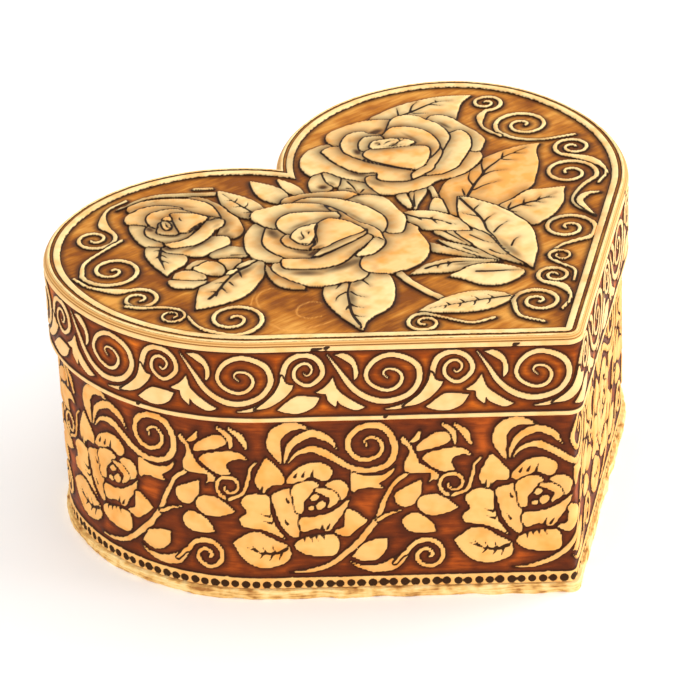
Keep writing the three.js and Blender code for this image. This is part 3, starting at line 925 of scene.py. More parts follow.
MIDDLE_ROSE = Rose((
    (0, ((-22, 26.6), (-24.5, 25.6), (-27.4, 23.5), (-29.9, 20.2), (-31.6, 17.3), (-32.2, 14.8), (-32, 11.8),
         (-29.9, 8.5), (-28, 8.1), (-26, 11), (-24, 17), (-20.4, 21.5), (-20.4, 25)), ((-28.5, 14.5), 5, 1.2, 90, 0.3)),
    (0, ((-32, 9.1, 1), (-33.9, 6.8), (-35.5, 3.1), (-36, -0.3), (-35.3, -3.2), (-32.4, -6.3, 1), (-31.8, -5),
         (-32.4, -1.5), (-33, 1.4), (-32.6, 4.8))),
    (0, ((-32.6, 6), (-33, 1.4), (-32, -3.5), (-30, -7), (-27, -9.3), (-24, -9.9), (-22, -11.2), (-19, -11.5),
         (-17, -10.4), (-15, -8), (-12, -4.5), (-12, 0), (-24, 3), (-30, 8)), ((-18, -3.8), 7.5, 1.9, -8, 1.0),
     ((-27.5, -0.8), 4.5, 1.6, -42, 1.0), ((-30.7, 4.8), 1.6, 2.2, 0, 0.9)),
    (0.4, ((-16.6, -10.2), (-13.7, -13.6), (-10, -14.7), (-6, -15), (-2, -13.6), (1, -11), (3, -7.7), (4.7, -2.7),
           (5.9, -0.7), (5, 2.8), (0, 4), (-4.5, 1), (-8, -1), (-13, -3.6), (-15.8, -6), (-16.8, -8.2)),
     ((-4.5, -3.2), 6, 1.0, 15, 0.25), ((-14.4, -9.5), 2.4, 1.0, 60, 0.25)),
    (0.3, ((2.2, 21.8), (5.9, 20.8), (8, 18.9), (9.5, 16.4), (9.3, 13.5), (8, 8.9), (7.2, 5.6), (5.5, 3.1),
           (2.2, 0), (0.5, -0.3), (-1.4, 1.8), (0, 6), (1.6, 9), (1.6, 13), (1, 17)),
     ((3.3, 18), 1.2, 3.4, 0, 0.95), ((4.1, 11), 0.9, 5.0, 0, 0.75)),
    (0.9, ((-11.2, 29.5), (-9.5, 31.6), (-5.8, 31.2), (-2, 29.5), (1.8, 27), (4.3, 25), (5.7, 21.6, 1), (2, 21.4),
           (-1.2, 23.3), (-4, 25.6), (-7, 27.4), (-9.4, 28))),
    (0.8, ((-8.7, 28.3), (-5.8, 28.4), (-3.3, 27.2), (-0.3, 23.9), (1.8, 20.2), (3.2, 15.2), (3.2, 9.3), (1.3, 5.2),
           (-2.4, 2.5), (-3, 6.8), (-4, 12.7), (-4, 17.3), (-5.2, 22.3), (-8, 26.4)),
     ((-2.2, 12.5), 0.8, 6.5, 0, 0.9), ((-4.6, 24.6), 3.4, 0.7, -50, 0.55)),
    (1.4, ((-21.2, 22.9), (-25.8, 18.5), (-27.3, 15.2), (-27.4, 11), (-25.8, 7), (-22, 3.2), (-10, 2.6), (-4.5, 4),
           (-5, 16), (-8, 22), (-19, 23)), ((-21.9, 19.2), 1.6, 3.2, -15, 1.25), ((-22.3, 8.2), 1.5, 3.4, 25, 1.1),
     ((-20.5, 5.4), 2.4, 1.2, 0, 1.25), ((-24, 13), 1.0, 3.0, 0, 0.7)),
    (1.8, ((-21.0, 22.6), (-21.4, 27.7), (-20.3, 30.2), (-18.2, 31.4), (-14.9, 30.6), (-11.2, 29.5), (-7.4, 26.8),
           (-4.5, 23.5), (-3.3, 19.3), (-3, 15.6, 1), (-6, 17), (-10.8, 21), (-13.7, 22.5), (-17, 22), (-19.3, 20.4)),
     ((-16, 25.8), 3.0, 0.7, 20, 0.3)),
    (1.7, ((-29.9, 4.1), (-29.2, 6.8), (-27.6, 8.1), (-25.3, 6), (-22.8, 3.7), (-20.3, 2.9), (-12.8, 3.1),
           (-5.8, 3.9), (-4.8, 3), (-6.2, 1.8), (-12.8, -0.7), (-17, -2.3), (-20.3, -2.5), (-23.7, -1.5),
           (-26.6, 0.6))),
    (2.0, ((-13.7, -1.9), (-10.3, -0.7), (-5.3, 1.6), (-4.3, -0.7), (-6.2, -2.8), (-10.3, -4.2), (-13.3, -3.2))),
    (2.2, ((-4.1, 21.8, 1), (-3.4, 17.3), (-3.4, 11), (-2.3, 6.8), (-2.5, 3.1), (-3.7, 0.6), (-4.3, -0.9, 1),
           (-5.1, 3.5), (-5.4, 8.9), (-6, 12.7), (-7.4, 16), (-5, 18))),
    (2.6, ((-19.6, 16.2), (-19.5, 20.6), (-17.4, 23.5), (-14.1, 24.6), (-11.2, 23.5), (-6.6, 19.8), (-4.2, 17.5, 1),
           (-5, 15.2), (-7.4, 14.6), (-11.2, 15), (-14, 15.6), (-17.4, 15.8)),
     ((-14.6, 18.2), 4.2, 1.0, 0, 0.9), ((-9.4, 17.6), 2.6, 0.8, -10, 0.7)),
    (2.6, ((-20.1, 16.6), (-22.4, 15.6), (-23.3, 12.7), (-22.6, 10.2), (-20.7, 7.3, 1), (-18, 8), (-18.5, 10.2),
           (-18.8, 12.7), (-19, 15))),
    (3.0, ((-22.4, 3.9, 1), (-19.5, 5.1), (-17, 5.8), (-12, 6.2), (-5, 6.4), (-5.1, 5), (-7, 4), (-12.8, 3.5),
           (-18, 3.4))),
    (3.3, ((-10.8, 16), (-7.8, 16.2), (-5.8, 13.5), (-4.9, 10.2), (-5.1, 5.8), (-9, 5.8), (-13.5, 6.0), (-17, 5.7),
           (-20.3, 7.2, 1), (-17.4, 8.9), (-15.3, 12.3), (-13.2, 14.8)), ((-18.2, 6.8), 1.6, 0.8, 0, 0.7)),
    (3.8, ((-20.0, 15.0), (-17.6, 16.6), (-14.6, 17.2), (-11.4, 16.2, 1), (-13.6, 14.2), (-15.2, 12.0),
           (-17.4, 10.2), (-19.5, 9.3), (-20.5, 11.4), (-20.4, 13.4)),
     ((-18.6, 12.8), 0.9, 0.9, 0, 0.9), ((-15.5, 14.4), 0.8, 0.6, 30, 0.7)),
), (((-19.4, 12.3), (-18.0, 12.6), (-17.2, 14.5), (-16.4, 15.6)), ((-16.2, 13.2), (-15.4, 14.0), (-14.8, 14.2)),
    ((-18.9, 7.6), (-16.6, 9.2), (-14.4, 12.6), (-11.4, 15.4)), ((-20.4, 11.5), (-19.3, 9.9), (-17.8, 9.4)),
    ((-14.6, 17.0), (-13.4, 16.6), (-12.6, 17.2))))

LEFT_ROSE = Rose((
    (0, ((-44.5, 46.2), (-45.8, 44.6), (-46.7, 42.4), (-47.6, 39.3), (-47.9, 35.7), (-46.4, 33.6), (-44.4, 32.6),
         (-43, 36.1), (-42.6, 39.3), (-42, 42.4), (-42.4, 44.3))),
    (0, ((-26.1, 47.9), (-24.5, 47.8), (-22.9, 45.5), (-22.3, 42.4), (-22.3, 38.6), (-22.9, 35.2), (-22.9, 32.1),
         (-24.5, 28), (-26.1, 25.5), (-29.2, 24.3), (-31.1, 25.8), (-32, 28), (-29, 31), (-27.4, 34), (-26, 38),
         (-25.4, 42), (-26, 45)), ((-26.3, 36), 0.8, 3.0, -12, 0.8), ((-29.5, 28.2), 3.0, 1.0, 35, 0.7)),
    (0, ((-45.8, 29.3), (-43.6, 26.4), (-42.6, 24.3), (-40.4, 22.4), (-37, 22.6), (-32.9, 22.5), (-30.8, 24.9),
         (-32, 27.6), (-36, 30), (-42, 31), (-45.4, 32)), ((-38, 27.2), 5.5, 1.1, 2, 0.95),
     ((-44.6, 30.6), 1.3, 2.2, 20, 1.1)),
    (0.8, ((-40.1, 51.1), (-40.5, 53), (-38.9, 54.1), (-35.1, 53.9), (-32.3, 52.7), (-29.5, 50.8), (-26.7, 48.3),
           (-24.8, 44.9), (-24, 41.8), (-24.8, 38), (-26.1, 34.6, 1), (-28, 37), (-30, 41.8), (-31.4, 45),
           (-33.6, 48), (-36, 50.2)), ((-29.2, 45.2), 3.8, 0.7, -58, 0.8), ((-33.6, 51.6), 1.8, 0.5, -10, 0.7)),
    (0.9, ((-42.4, 42.4), (-44.5, 39.6), (-44.3, 36.1), (-43.3, 33.6), (-41.7, 31.6), (-38.9, 31.2), (-34.4, 33),
           (-36, 38), (-38, 41), (-40, 43)), ((-42.3, 41.2), 1.2, 2.0, 0, 1.2), ((-40.2, 34.6), 2.4, 0.9, -30, 1.1)),
    (1.2, ((-44.5, 47.7), (-43.9, 49.3), (-42.3, 50.5), (-40.1, 50.8), (-37.3, 50.9), (-34.5, 49.9), (-32, 47.7),
           (-30.2, 44.7), (-32, 44), (-34.5, 45), (-37.6, 45.4), (-40.1, 44.1), (-41.4, 43), (-42.6, 44.4),
           (-44.2, 46.4))),
    (1.3, ((-44, 33.3, 1), (-43.8, 30.2), (-41.7, 29), (-38.9, 27.7), (-36.4, 27.8), (-33.9, 28.6), (-30.8, 30.5),
           (-28.3, 30.8), (-26.4, 33), (-28, 35.6), (-30.8, 35.1), (-33.9, 33.5), (-36.4, 32.1), (-38.9, 31.4),
           (-41.7, 31.9)), ((-29.3, 31.8), 1.8, 0.8, 20, 0.45)),
    (1.9, ((-41.1, 43), (-40.1, 45.5), (-37.9, 47.2), (-34.8, 46.9), (-32.3, 45.8), (-30.8, 43.9), (-29.5, 40.5),
           (-28.3, 37.4), (-26.8, 34.7, 1), (-29.2, 35.4), (-31, 37), (-32.6, 40), (-34.4, 41.8), (-36, 41.6),
           (-38.3, 40), (-40.1, 39.7), (-41.1, 41.1)), ((-36.6, 43.4), 2.6, 1.0, 10, 0.9)),
    (2.4, ((-42, 38.6), (-40.4, 40.2), (-38.9, 41.8), (-37, 41.6), (-35.4, 40.5), (-36, 38), (-37.6, 35.5),
           (-38.9, 34.5), (-40.8, 35.8), (-41.8, 37.1)), ((-39.2, 37.6), 1.2, 1.4, 0, 0.9)),
    (2.9, ((-33.9, 43.8), (-32, 42.4), (-29.8, 39.9), (-28.5, 36.2, 1), (-31.1, 35.2), (-33.9, 34.6), (-36.4, 33.6),
           (-38.1, 34.8, 1), (-37.1, 37.4), (-35.8, 40.5), (-34.8, 42.7)), ((-34, 40.4), 0.3, 1.4, -20, 0.4)),
    (3.1, ((-39.9, 38.3), (-39.4, 40.0), (-38.2, 41.9), (-37.2, 41.2), (-37.6, 39.0), (-38.8, 37.6)),
     ((-38.3, 39.4), 0.5, 0.8, -25, 0.8)),
    (3.3, ((-37.2, 42.9), (-35.8, 43.2), (-35.2, 42.4), (-36.2, 40.6, 1), (-37.0, 41.6))),
), (((-40.3, 38.0), (-39.0, 37.7), (-38.0, 38.8)), ((-38.9, 38.4), (-38.4, 39.6), (-37.9, 40.8)),
    ((-34.4, 38.8), (-34.1, 40.2), (-33.5, 41.2)), ((-37.4, 42.6), (-36.6, 41.4), (-36.3, 40.4)),
    ((-38.6, 31.5), (-34.0, 33.2), (-30.6, 34.9)), ((-36.8, 33.8), (-33.8, 34.8), (-30.2, 35.6))))

RIGHT_ROSE = Rose((
    (0, ((3.4, 37), (4, 41.5), (6.3, 45), (10.1, 47.5), (13.8, 48), (16.8, 47.2), (17.2, 45.4), (15, 43), (13, 39),
         (13, 34.8), (14, 30.7), (16.5, 26.5), (15, 23), (12, 21.5), (10.5, 26), (8.2, 31), (7, 36)),
     ((12.2, 40.5), 1.1, 4.0, -8, 1.15), ((12.3, 30.5), 1.8, 5.0, 14, 1.1)),
    (0, ((10.5, 23.5), (10.1, 18.2), (12.6, 15.7), (16.3, 14), (20.5, 13.2), (24.7, 14.2), (29.7, 12.5),
         (33.4, 13), (37.6, 14.4), (41.3, 16.9), (41.9, 20.6), (38.8, 21), (34.3, 18.5), (29.7, 17.7), (27.2, 18.1),
         (23, 20.2), (18, 21), (16.2, 24.4), (13, 27)), ((12.7, 23.2), 1.4, 3.0, 10, 0.8),
     ((16.6, 18.2), 3.0, 1.0, -40, 0.5), ((36.4, 17.6), 3.6, 0.8, 30, 0.6)),
    (0.2, ((43.2, 40.7, 1), (45.5, 41.6), (47.6, 40.3), (48.6, 37.3), (48.6, 32.8), (48.4, 27.8), (47.6, 23.6),
           (46.3, 21.9), (42.2, 19), (40.6, 20.3), (42, 23.2), (43.5, 26.5), (42.5, 31.5), (42.5, 35)),
     ((44.7, 35.5), 0.8, 3.6, 0, 1.1), ((44.9, 24.6), 0.9, 3.4, -28, 0.6)),
    (0.6, ((17.2, 46.1), (18, 49.4), (20.1, 51.5), (23.8, 52), (29.7, 51.5), (33.4, 49.8), (36.9, 46.9, 1),
           (33.4, 43), (30, 42), (26, 43), (22, 43), (18.4, 43.8)), ((29.6, 44.2), 3.0, 1.4, 0, 1.2),
     ((21.8, 47.6), 2.8, 0.8, 25, 0.6)),
    (0.9, ((45.7, 30.5), (45.3, 26.5), (42.2, 22.3), (38.8, 19.8), (35.5, 17.8), (32.6, 16.1), (28.8, 15.7),
           (26.8, 16.1), (23.2, 18.3, 1), (26.3, 20), (28.8, 22.7), (33.8, 26), (38, 28.9), (42, 31)),
     ((33.2, 21.6), 5.5, 0.8, 30, 0.75), ((25.8, 17.9), 1.4, 0.7, 0, 0.8)),
    (1.3, ((13, 44.8), (15.9, 45.3), (18.4, 43.6), (17.6, 40.7), (17.6, 37.3), (19.5, 33.2), (21.6, 28.2),
           (23.7, 23.6), (23.2, 21.7), (21.8, 20.3), (20.1, 18.4), (17.6, 19.4), (15.1, 21.9), (14.2, 24.4),
           (15.9, 26.9), (13, 29.8), (11.8, 34), (11.8, 39), (12.6, 43.2)), ((17.6, 30.5), 0.9, 4.0, 20, 0.45)),
    (1.4, ((33.4, 44), (37.2, 46.8), (40.5, 46.6), (42.6, 44.4), (43.2, 40.7), (43.8, 36.9), (43, 32.8),
           (41.3, 29.4), (38, 26.9), (34.7, 24.8), (32, 25), (34.5, 28), (36.5, 32), (37, 36), (36, 39),
           (33.5, 41), (30.9, 40.6), (29.7, 40.7)), ((39.9, 33.5), 0.9, 5.0, 12, 0.55)),
    (1.8, ((20.2, 18.3, 1), (21.8, 20.4), (24.7, 21.5), (27.2, 21.7), (29.7, 23.8), (33.4, 25.5), (36.2, 27.2, 1),
           (34.7, 24.4), (30.9, 21.5), (28.8, 20.3), (27.2, 19), (23, 18.4))),
    (2.0, ((16.8, 38.2), (16.8, 40.7), (18.8, 44.5), (22.2, 47), (24.7, 47.4), (27.2, 46.3), (27.4, 44.6),
           (29.5, 41.4), (26, 39), (22.6, 37), (22, 31), (22.6, 25), (23.2, 22), (20.4, 27), (17.8, 33)),
     ((19.2, 38.4), 1.3, 2.2, -20, 1.25), ((21.2, 43.6), 0.8, 2.6, -35, 0.5)),
    (2.3, ((28.4, 40.7), (30.9, 42), (33.8, 42.9), (36.3, 41.5), (38.4, 38.6), (39, 35.3), (38.2, 31.1),
           (36.3, 27.3), (33.4, 25.3), (29.7, 24), (31, 27.3), (31.6, 29.8), (31, 33.2), (30.6, 35.7),
           (29.6, 37.3), (29, 39)), ((33.9, 34.6), 0.9, 4.2, 0, 0.85)),
    (2.5, ((20.3, 38.6), (22.2, 41.5), (24.7, 43.1), (26.3, 42.9), (28.8, 40.8), (27.2, 38.4), (24.7, 38),
           (23, 37.2), (21.3, 36.8)), ((22.6, 38.8), 1.6, 0.7, 20, 0.8)),
    (3.0, ((19.0, 35.7), (20.5, 37), (23, 36.9), (25.9, 34.9), (29.7, 32.9), (33.5, 29.8), (33.1, 27.3),
           (30.5, 24.4), (27.2, 22.3), (24.7, 21.9), (22.6, 23.6), (20.9, 26.9), (19.4, 30.6), (18.7, 33.6)),
     ((22.6, 30), 1.4, 0.5, 40, 0.3)),
    (3.6, ((22.9, 38.2), (25.1, 39.9), (27.2, 39.5), (30.5, 37.8), (32.6, 35.3), (32.8, 32.6), (29.7, 33.1),
           (26.3, 34.8), (23.4, 36.5)), ((25.6, 38.6), 0.8, 0.6, 0, 0.95), ((28.4, 35.4), 1.2, 0.6, -10, 0.95)),
), (((26.4, 37.0), (28.0, 37.4), (29.8, 37.0)), ((27.0, 35.8), (28.6, 35.2), (30.4, 35.9), (31.8, 35.6)),
    ((25.4, 36.4), (27.6, 34.9), (30.0, 33.9)), ((30.6, 37.6), (31.0, 36.4), (30.4, 35.6)),
    ((24.6, 38.2), (25.6, 37.6), (26.2, 38.6)), ((16.6, 37.4), (18.0, 33.6), (20.0, 29.0), (22.2, 24.2))))


# Each row is a leaf: its golden tint, its outline, its scored veins, which get painted shade beside them, and the
# hollows where shade is painted, each as place, half length, half width, bearing and darkness.
LEAVES = (
    (0.9, ((19.8, 7.9), (22.1, 10.1), (26.2, 12.5), (32.5, 12.4), (38, 14), (40.7, 15.6), (47.1, 15.4), (51.6, 14.5),
           (56.1, 12.4, 1), (53, 10.2), (49.4, 5.2), (46.2, 2), (42.5, -1.2), (39.8, -3.2), (31.6, -5.5),
           (26.6, -6), (23.5, -0.7), (17.1, -2.8), (16.2, 0.2), (18, 4.7)),
     (((24.4, 2.9), (27.1, 4.7), (29.8, 6.5), (33.9, 8.8), (37.1, 10.6), (41.2, 11.8), (44.8, 12.7), (52, 12.8)),
      ((28, 4.5), (31.6, 4.7), (35.3, 4)), ((33.9, 8.8), (37.5, 8.8), (40.5, 7.2)), ((43.5, 11.8), (45.5, 9.5)),
      ((47.5, 12.7), (49.4, 10.9)), ((43.9, 12.7), (46.2, 14.7)), ((35.7, 10.2), (38, 13.4), (39.8, 15)),
      ((29.4, 6.5), (30.7, 9.7), (33.5, 12.5)), ((24.6, 4), (26.4, 7.2))),
     (((29, 3.0), 3.5, 1.6, 20, 0.5), ((36, 9.6), 3.5, 0.7, 25, 0.35))),
    (0.35, ((26.6, -6.2), (31.6, -5.5), (36.6, -4.4), (38.5, -4.8), (41.2, -6.6), (45.5, -8.9, 1), (43.5, -10.7),
            (40.7, -13.9), (38, -15.7), (34.4, -17.5), (30.7, -18.2), (27.1, -18), (25, -12.5)),
     (((27.1, -8.7), (31.6, -8.9), (35.7, -9.8), (38, -10), (41.4, -10)), ((31.9, -9.1), (33.9, -7.1)),
      ((31.6, -9.4), (33, -11.6)), ((35.7, -9.8), (37.5, -8.9)), ((34.8, -9.8), (36, -11.8)),
      ((38, -10), (39.6, -11.4)), ((28, -8), (30.7, -6.2)), ((27.3, -9.4), (28.5, -11.6))), ()),
    (0.0, ((11.6, 7.9), (15.3, 13.7), (17, 14), (20.3, 12.9, 1), (18.5, 11.1), (14, 8.4), (11.2, 6.2)),
     (((11.9, 7.6), (14.2, 10.6), (16.6, 13.4)),), ()),
    (0.0, ((18, 7.9), (19.8, 11.1), (20.5, 13), (21.8, 12.5), (20.2, 9), (18.9, 6.6, 1)), (), ()),
    (0.0, ((10.4, 8.4), (12.1, 14.9), (14.9, 14.4, 1), (11.9, 8.6)), (), ()),
    (0.0, ((13.3, 3.6), (17.5, 7.6), (19, 6.4), (18, 4), (15.7, -0.5, 1), (14.6, 1.5)), (), ()),
    (0.1, ((0.7, -11.6), (2.5, -8.7), (3.5, -9.2), (4.8, -13.5), (6.4, -18.9), (9.2, -26.6, 1), (6.2, -21.2),
           (2.5, -15.3)), (), ()),
    (0.0, ((5.3, -8.5), (6.6, -11.6), (8, -14.4), (9.4, -18.9), (9.8, -26.6, 1), (8, -24), (6.8, -19.8),
           (5.5, -14.4)), (((7.2, -16), (8.2, -21)),), ()),
    (0.2, ((7.3, -4.6), (9.4, -6.6), (11.4, -8.9), (9.8, -17.6, 1), (8.3, -13.5), (7.4, -9.8)),
     (((9.1, -6.3), (9.4, -15.3)),), ()),
    (0.2, ((11.0, -8.6), (13.9, -10.2), (15.8, -10.3), (16.8, -13), (16.2, -16.6), (14.8, -19.8), (13.9, -23.5),
           (13.2, -27.5), (13.1, -33, 1), (11.3, -28), (10.1, -23.5), (9.9, -18.9), (10.2, -14.4)),
     (((12.5, -12.1), (13, -16.6), (14.1, -19.4)), ((11.2, -20.7), (11.6, -23.5), (12.8, -25.7))), ()),
    (0.1, ((6.2, 3.4), (7.8, 7.2, 1), (9.6, 6.7), (13, 3.8), (15.3, -0.7), (16, -5.3), (15.5, -7.5),
           (14.1, -10.7, 1), (11.6, -8.5), (9.4, -6.2), (6, -2.1), (6.2, 0.6)),
     (((7.8, 6), (8.9, 2.9), (11.2, -0.3), (12.5, -3.5), (13.5, -6.2)), ((11, 0), (10.3, -2.8)),
      ((8.9, 2.9), (8.7, 1)), ((10.7, 0.6), (12.2, 0.7)), ((12.5, -3.4), (12.5, -5.2))), ()),
    (0.1, ((22.8, 4.3, 1), (24.4, 2.5), (25.3, -0.7), (26.4, -4.4), (26.9, -8.9), (26.7, -14.4), (26.2, -18),
           (24.8, -21.2), (22.5, -24.4), (19.8, -28), (16.2, -31.2), (13, -34.2, 1), (13.1, -28), (13.6, -23.5),
           (15, -18.9), (16, -14.4), (15.4, -9.8), (15.8, -5.5), (17.1, -2.6), (20, 1.2)),
     (((22.6, 3.4), (21.6, -0.7), (20.3, -6.2), (18.9, -9.8), (17.1, -13), (16.2, -16.6), (14.8, -20.3),
       (13.7, -24.9)), ((21.2, -3.2), (24.1, -2.1)), ((19.4, -9.4), (21, -8.6), (23.5, -8.2)),
      ((17.5, -15), (20.3, -13.7), (23.5, -13)), ((16.2, -22.8), (18.5, -21.2), (20.3, -20.7)),
      ((20, -6.6), (18.5, -3.5), (18.2, -2.5))),
     (((14.9, -23.6), 5.5, 1.1, 78, 0.9), ((18.6, -12.6), 5, 0.6, 65, 0.4), ((25.6, -8), 5, 0.5, 90, 0.3))),
    (0.2, ((-28.4, -8.3), (-30.7, -10.6), (-32.5, -13.9), (-33.6, -17.8), (-34.3, -22.1), (-34.6, -26),
           (-34.7, -29.9, 1), (-32.9, -27.4), (-31, -23.1), (-28.3, -19.2), (-25.4, -14.2), (-22, -10.2),
           (-24.3, -8.8), (-26.4, -8.2)),
     (((-26.4, -13.7), (-29.3, -14.2), (-30.9, -15.6)), ((-24.6, -9.8), (-27.5, -11.2)),
      ((-30.2, -19.2), (-32, -20.4))), (((-24.6, -10.6), 2.4, 0.8, 10, 0.6),)),
    (0.1, ((-22.5, -10.4), (-20, -10), (-16.8, -9.6), (-15, -12.4), (-13.8, -14), (-15, -17.1), (-17.1, -20.3),
           (-20, -23.5), (-22.5, -25.5), (-25.7, -26.4), (-28.2, -26.5), (-31.1, -27.4), (-32.9, -28.7),
           (-34.7, -30, 1), (-32.9, -27), (-31.8, -23.1), (-29.3, -18.9), (-26.4, -14.6), (-23.9, -12.1)),
     (((-33.4, -27.4), (-31.7, -22.6), (-29.2, -18.5), (-26.2, -14.2), (-22.8, -11)),
      ((-25.4, -14.2), (-25.5, -16.7), (-24.6, -18.9)), ((-20, -11.2), (-20.2, -13.4), (-20.6, -15.5)),
      ((-29, -18.8), (-29, -20.4), (-28, -22.2)), ((-31.6, -23), (-31.4, -24.2), (-30.5, -25.4))),
     (((-27, -16.4), 6.5, 1.2, 57, 1.0), ((-21.5, -12.2), 3.2, 1.3, 12, 0.9))),
    (0.1, ((-10.2, -17.2, 1), (-7.1, -16.4), (-3.6, -16.2), (0, -17.1), (2.9, -18.5), (5.7, -21.4), (8.2, -24.6),
           (9.8, -27, 1), (7.5, -25.2), (4.6, -24.4), (2.1, -23.7), (-0.7, -23.3), (-3.9, -21.6), (-7.1, -19)),
     (((-5.7, -17.6), (-2.9, -18.1), (0, -19.2), (2.9, -21), (6.4, -24.1)), ((-2.4, -18.2), (-3.6, -19.4)),
      ((0.2, -19.3), (0.4, -18.2)), ((0, -19.4), (-1.4, -20.4))), (((2.3, -22.2), 2.8, 0.9, -35, 0.9),)),
    (0.0, ((-4, -23.9, 1), (-0.7, -24), (2.1, -23.7), (5.7, -24.9), (8.2, -27.1), (10, -30.3), (11, -33.4, 1),
           (9.6, -34.8), (6.4, -35.4), (2.9, -35.1), (0.4, -33.5), (-1.1, -31.7), (-2.1, -28.1), (-2.9, -26)),
     (((2.1, -26.7), (4.6, -28.9), (8.2, -31.4), (10.4, -33.3)),), (((8.4, -32), 2.4, 0.7, -40, 0.5),)),
    (0.2, ((-57, 3.4, 1), (-55.1, 5.7), (-52.8, 8.4), (-50.3, 10.8), (-48.1, 11.1), (-44.2, 11.4), (-40.9, 11.4),
           (-38.4, 11.6), (-35.3, 11.8), (-31.8, 11.8), (-31.8, 10.1), (-33.7, 7.3), (-35.9, 5.1), (-38.7, 3.4),
           (-41.4, 1.8), (-44.2, 0.9), (-47, 0.7), (-50.9, 1.2), (-54.5, 2.2)),
     (((-51.9, 5), (-49.8, 5.8), (-47, 7.3), (-44.2, 9), (-41.2, 10.3), (-38.1, 11.0), (-33.1, 11.4)),
      ((-44.2, 9), (-46.4, 10.1)), ((-48.4, 6.8), (-49.8, 7.7)), ((-48.9, 5.9), (-50, 4.7)),
      ((-46.4, 7.3), (-46.9, 4.6)), ((-43.4, 8.4), (-43.9, 5.8)), ((-38.9, 10.3), (-40.1, 7.9))),
     (((-38, 9.8), 5.5, 1.2, 12, 0.9),)),
    (0.0, ((-53.7, 18.4), (-54.7, 16.5), (-54.4, 14.3), (-52.8, 12.9), (-50.9, 11.6), (-48.4, 11.8), (-46.6, 12.2, 1),
           (-49.4, 14.4), (-52.4, 17.5)), (), ()),
    (0.3, ((-52.4, 18.4, 1), (-50.9, 19.8), (-48.9, 20.1), (-47, 18.9), (-45.6, 17.3), (-45.4, 15.7),
           (-46, 13.7), (-47.4, 13.5), (-49.8, 15.5)), (), (((-46.6, 14.6), 1.2, 0.6, 60, 0.7),)),
    (0.0, ((-47, 20.6), (-44.8, 21.5), (-42.8, 21.5), (-41, 20.2), (-41.4, 19.2), (-44.2, 19), (-46.2, 19.4)), (), ()),
    (0.1, ((-45.8, 19.2), (-44, 19.3), (-41.4, 19.5), (-40, 18.4), (-39.7, 15.9), (-40.6, 13.7), (-42.6, 12.2),
           (-43.9, 13.2), (-45.3, 15.4), (-45.9, 17.3)), (), (((-43.6, 13.4), 1.4, 0.6, -50, 0.6),)),
    (0.0, ((-39.1, 21.9), (-36.2, 22.7), (-33.4, 22.4), (-31.2, 19.9), (-30.5, 18.2), (-32, 15.3, 1), (-34.2, 15.9),
           (-37, 18.4), (-39, 19.8)), (((-35.4, 18.2), (-33.6, 16.8), (-32.4, 15.8)),), ()),
    (0.5, ((-39, 18.5), (-37, 17.4), (-34.8, 15.1), (-36.8, 13.4), (-39.2, 12.9), (-40.1, 13.4), (-39.4, 15.7)),
     (), ()),
    (0.0, ((-38.6, 12.5), (-35.3, 13.6), (-32.2, 12.7), (-33.4, 12.1), (-38.1, 11.7)), (), ()),
    (0.1, ((-42.2, 11.8, 1), (-40.1, 12.6), (-38.2, 11.7), (-40.9, 10.9)), (), ()),
    (0.1, ((33, 50.7), (36.8, 51.7), (42.2, 51.9), (45.9, 51.5), (50.5, 50.3), (54.3, 48.6), (58, 46.1),
           (60.8, 43.8, 1), (58, 43.1), (55.1, 41.5), (52.2, 39), (48.8, 36.3), (46, 38), (42, 41), (40, 44),
           (36, 46)),
     (((39.7, 47.0), (43.8, 46.9), (48, 47.1), (51.8, 46.9), (54.9, 44.8)), ((39.7, 47.3), (42.2, 51.1)),
      ((43.4, 47.3), (45.9, 49.4), (48.4, 50.3)), ((43.4, 46.1), (46.3, 43.4)), ((49.7, 46.9), (51.3, 44.4)),
      ((51.6, 46.9), (52.2, 47.9))), (((43.8, 45.6), 2.4, 1.0, 0, 0.6),)),
    (0.1, ((-47.9, 34.8), (-50.1, 32.4), (-51.1, 29.9), (-51.8, 26.8), (-52.2, 23.6), (-52.4, 20.4, 1),
           (-49.5, 21.6), (-46, 22.2), (-43.5, 24.6), (-44, 27.5), (-45, 30.8), (-45.4, 33)),
     (((-46.2, 31.4), (-48.5, 28.8), (-49.8, 26), (-51.3, 22.8)), ((-47.6, 30), (-47.2, 27.2)),
      ((-49, 27.4), (-48.5, 25)), ((-47.8, 29.6), (-49.7, 28.9)), ((-46.2, 31.6), (-47.8, 32.1))), ()),
    (0.0, ((5.7, 21.4), (3.8, 24.8), (4.3, 27.4), (8.1, 30.9, 1), (9.8, 28.5), (10.8, 23.5), (9.2, 17.5, 1),
           (6.4, 20)),
     (((8, 28.5), (7.4, 25.6), (6.1, 22.3)), ((5.7, 26), (6.6, 24.5)), ((8.4, 22.7), (6.3, 21.6))), ()),
    (0.1, ((7.3, 38, 1), (3.4, 36.6), (0.5, 34.4), (-1.4, 31.1), (-1.6, 29.2), (1.1, 28), (3.7, 28.8), (4.2, 32),
           (5.8, 35)), (), (((1.8, 30.2), 1.4, 1.6, 50, 1.1),)),
    (0.0, ((7.3, 38, 1), (10.4, 34), (11, 30.5), (8, 31, 1), (4.9, 28.2), (3.9, 30), (4.6, 33)), (),
     (((4.6, 30.4), 0.7, 1.6, 0, 0.7),)),
)


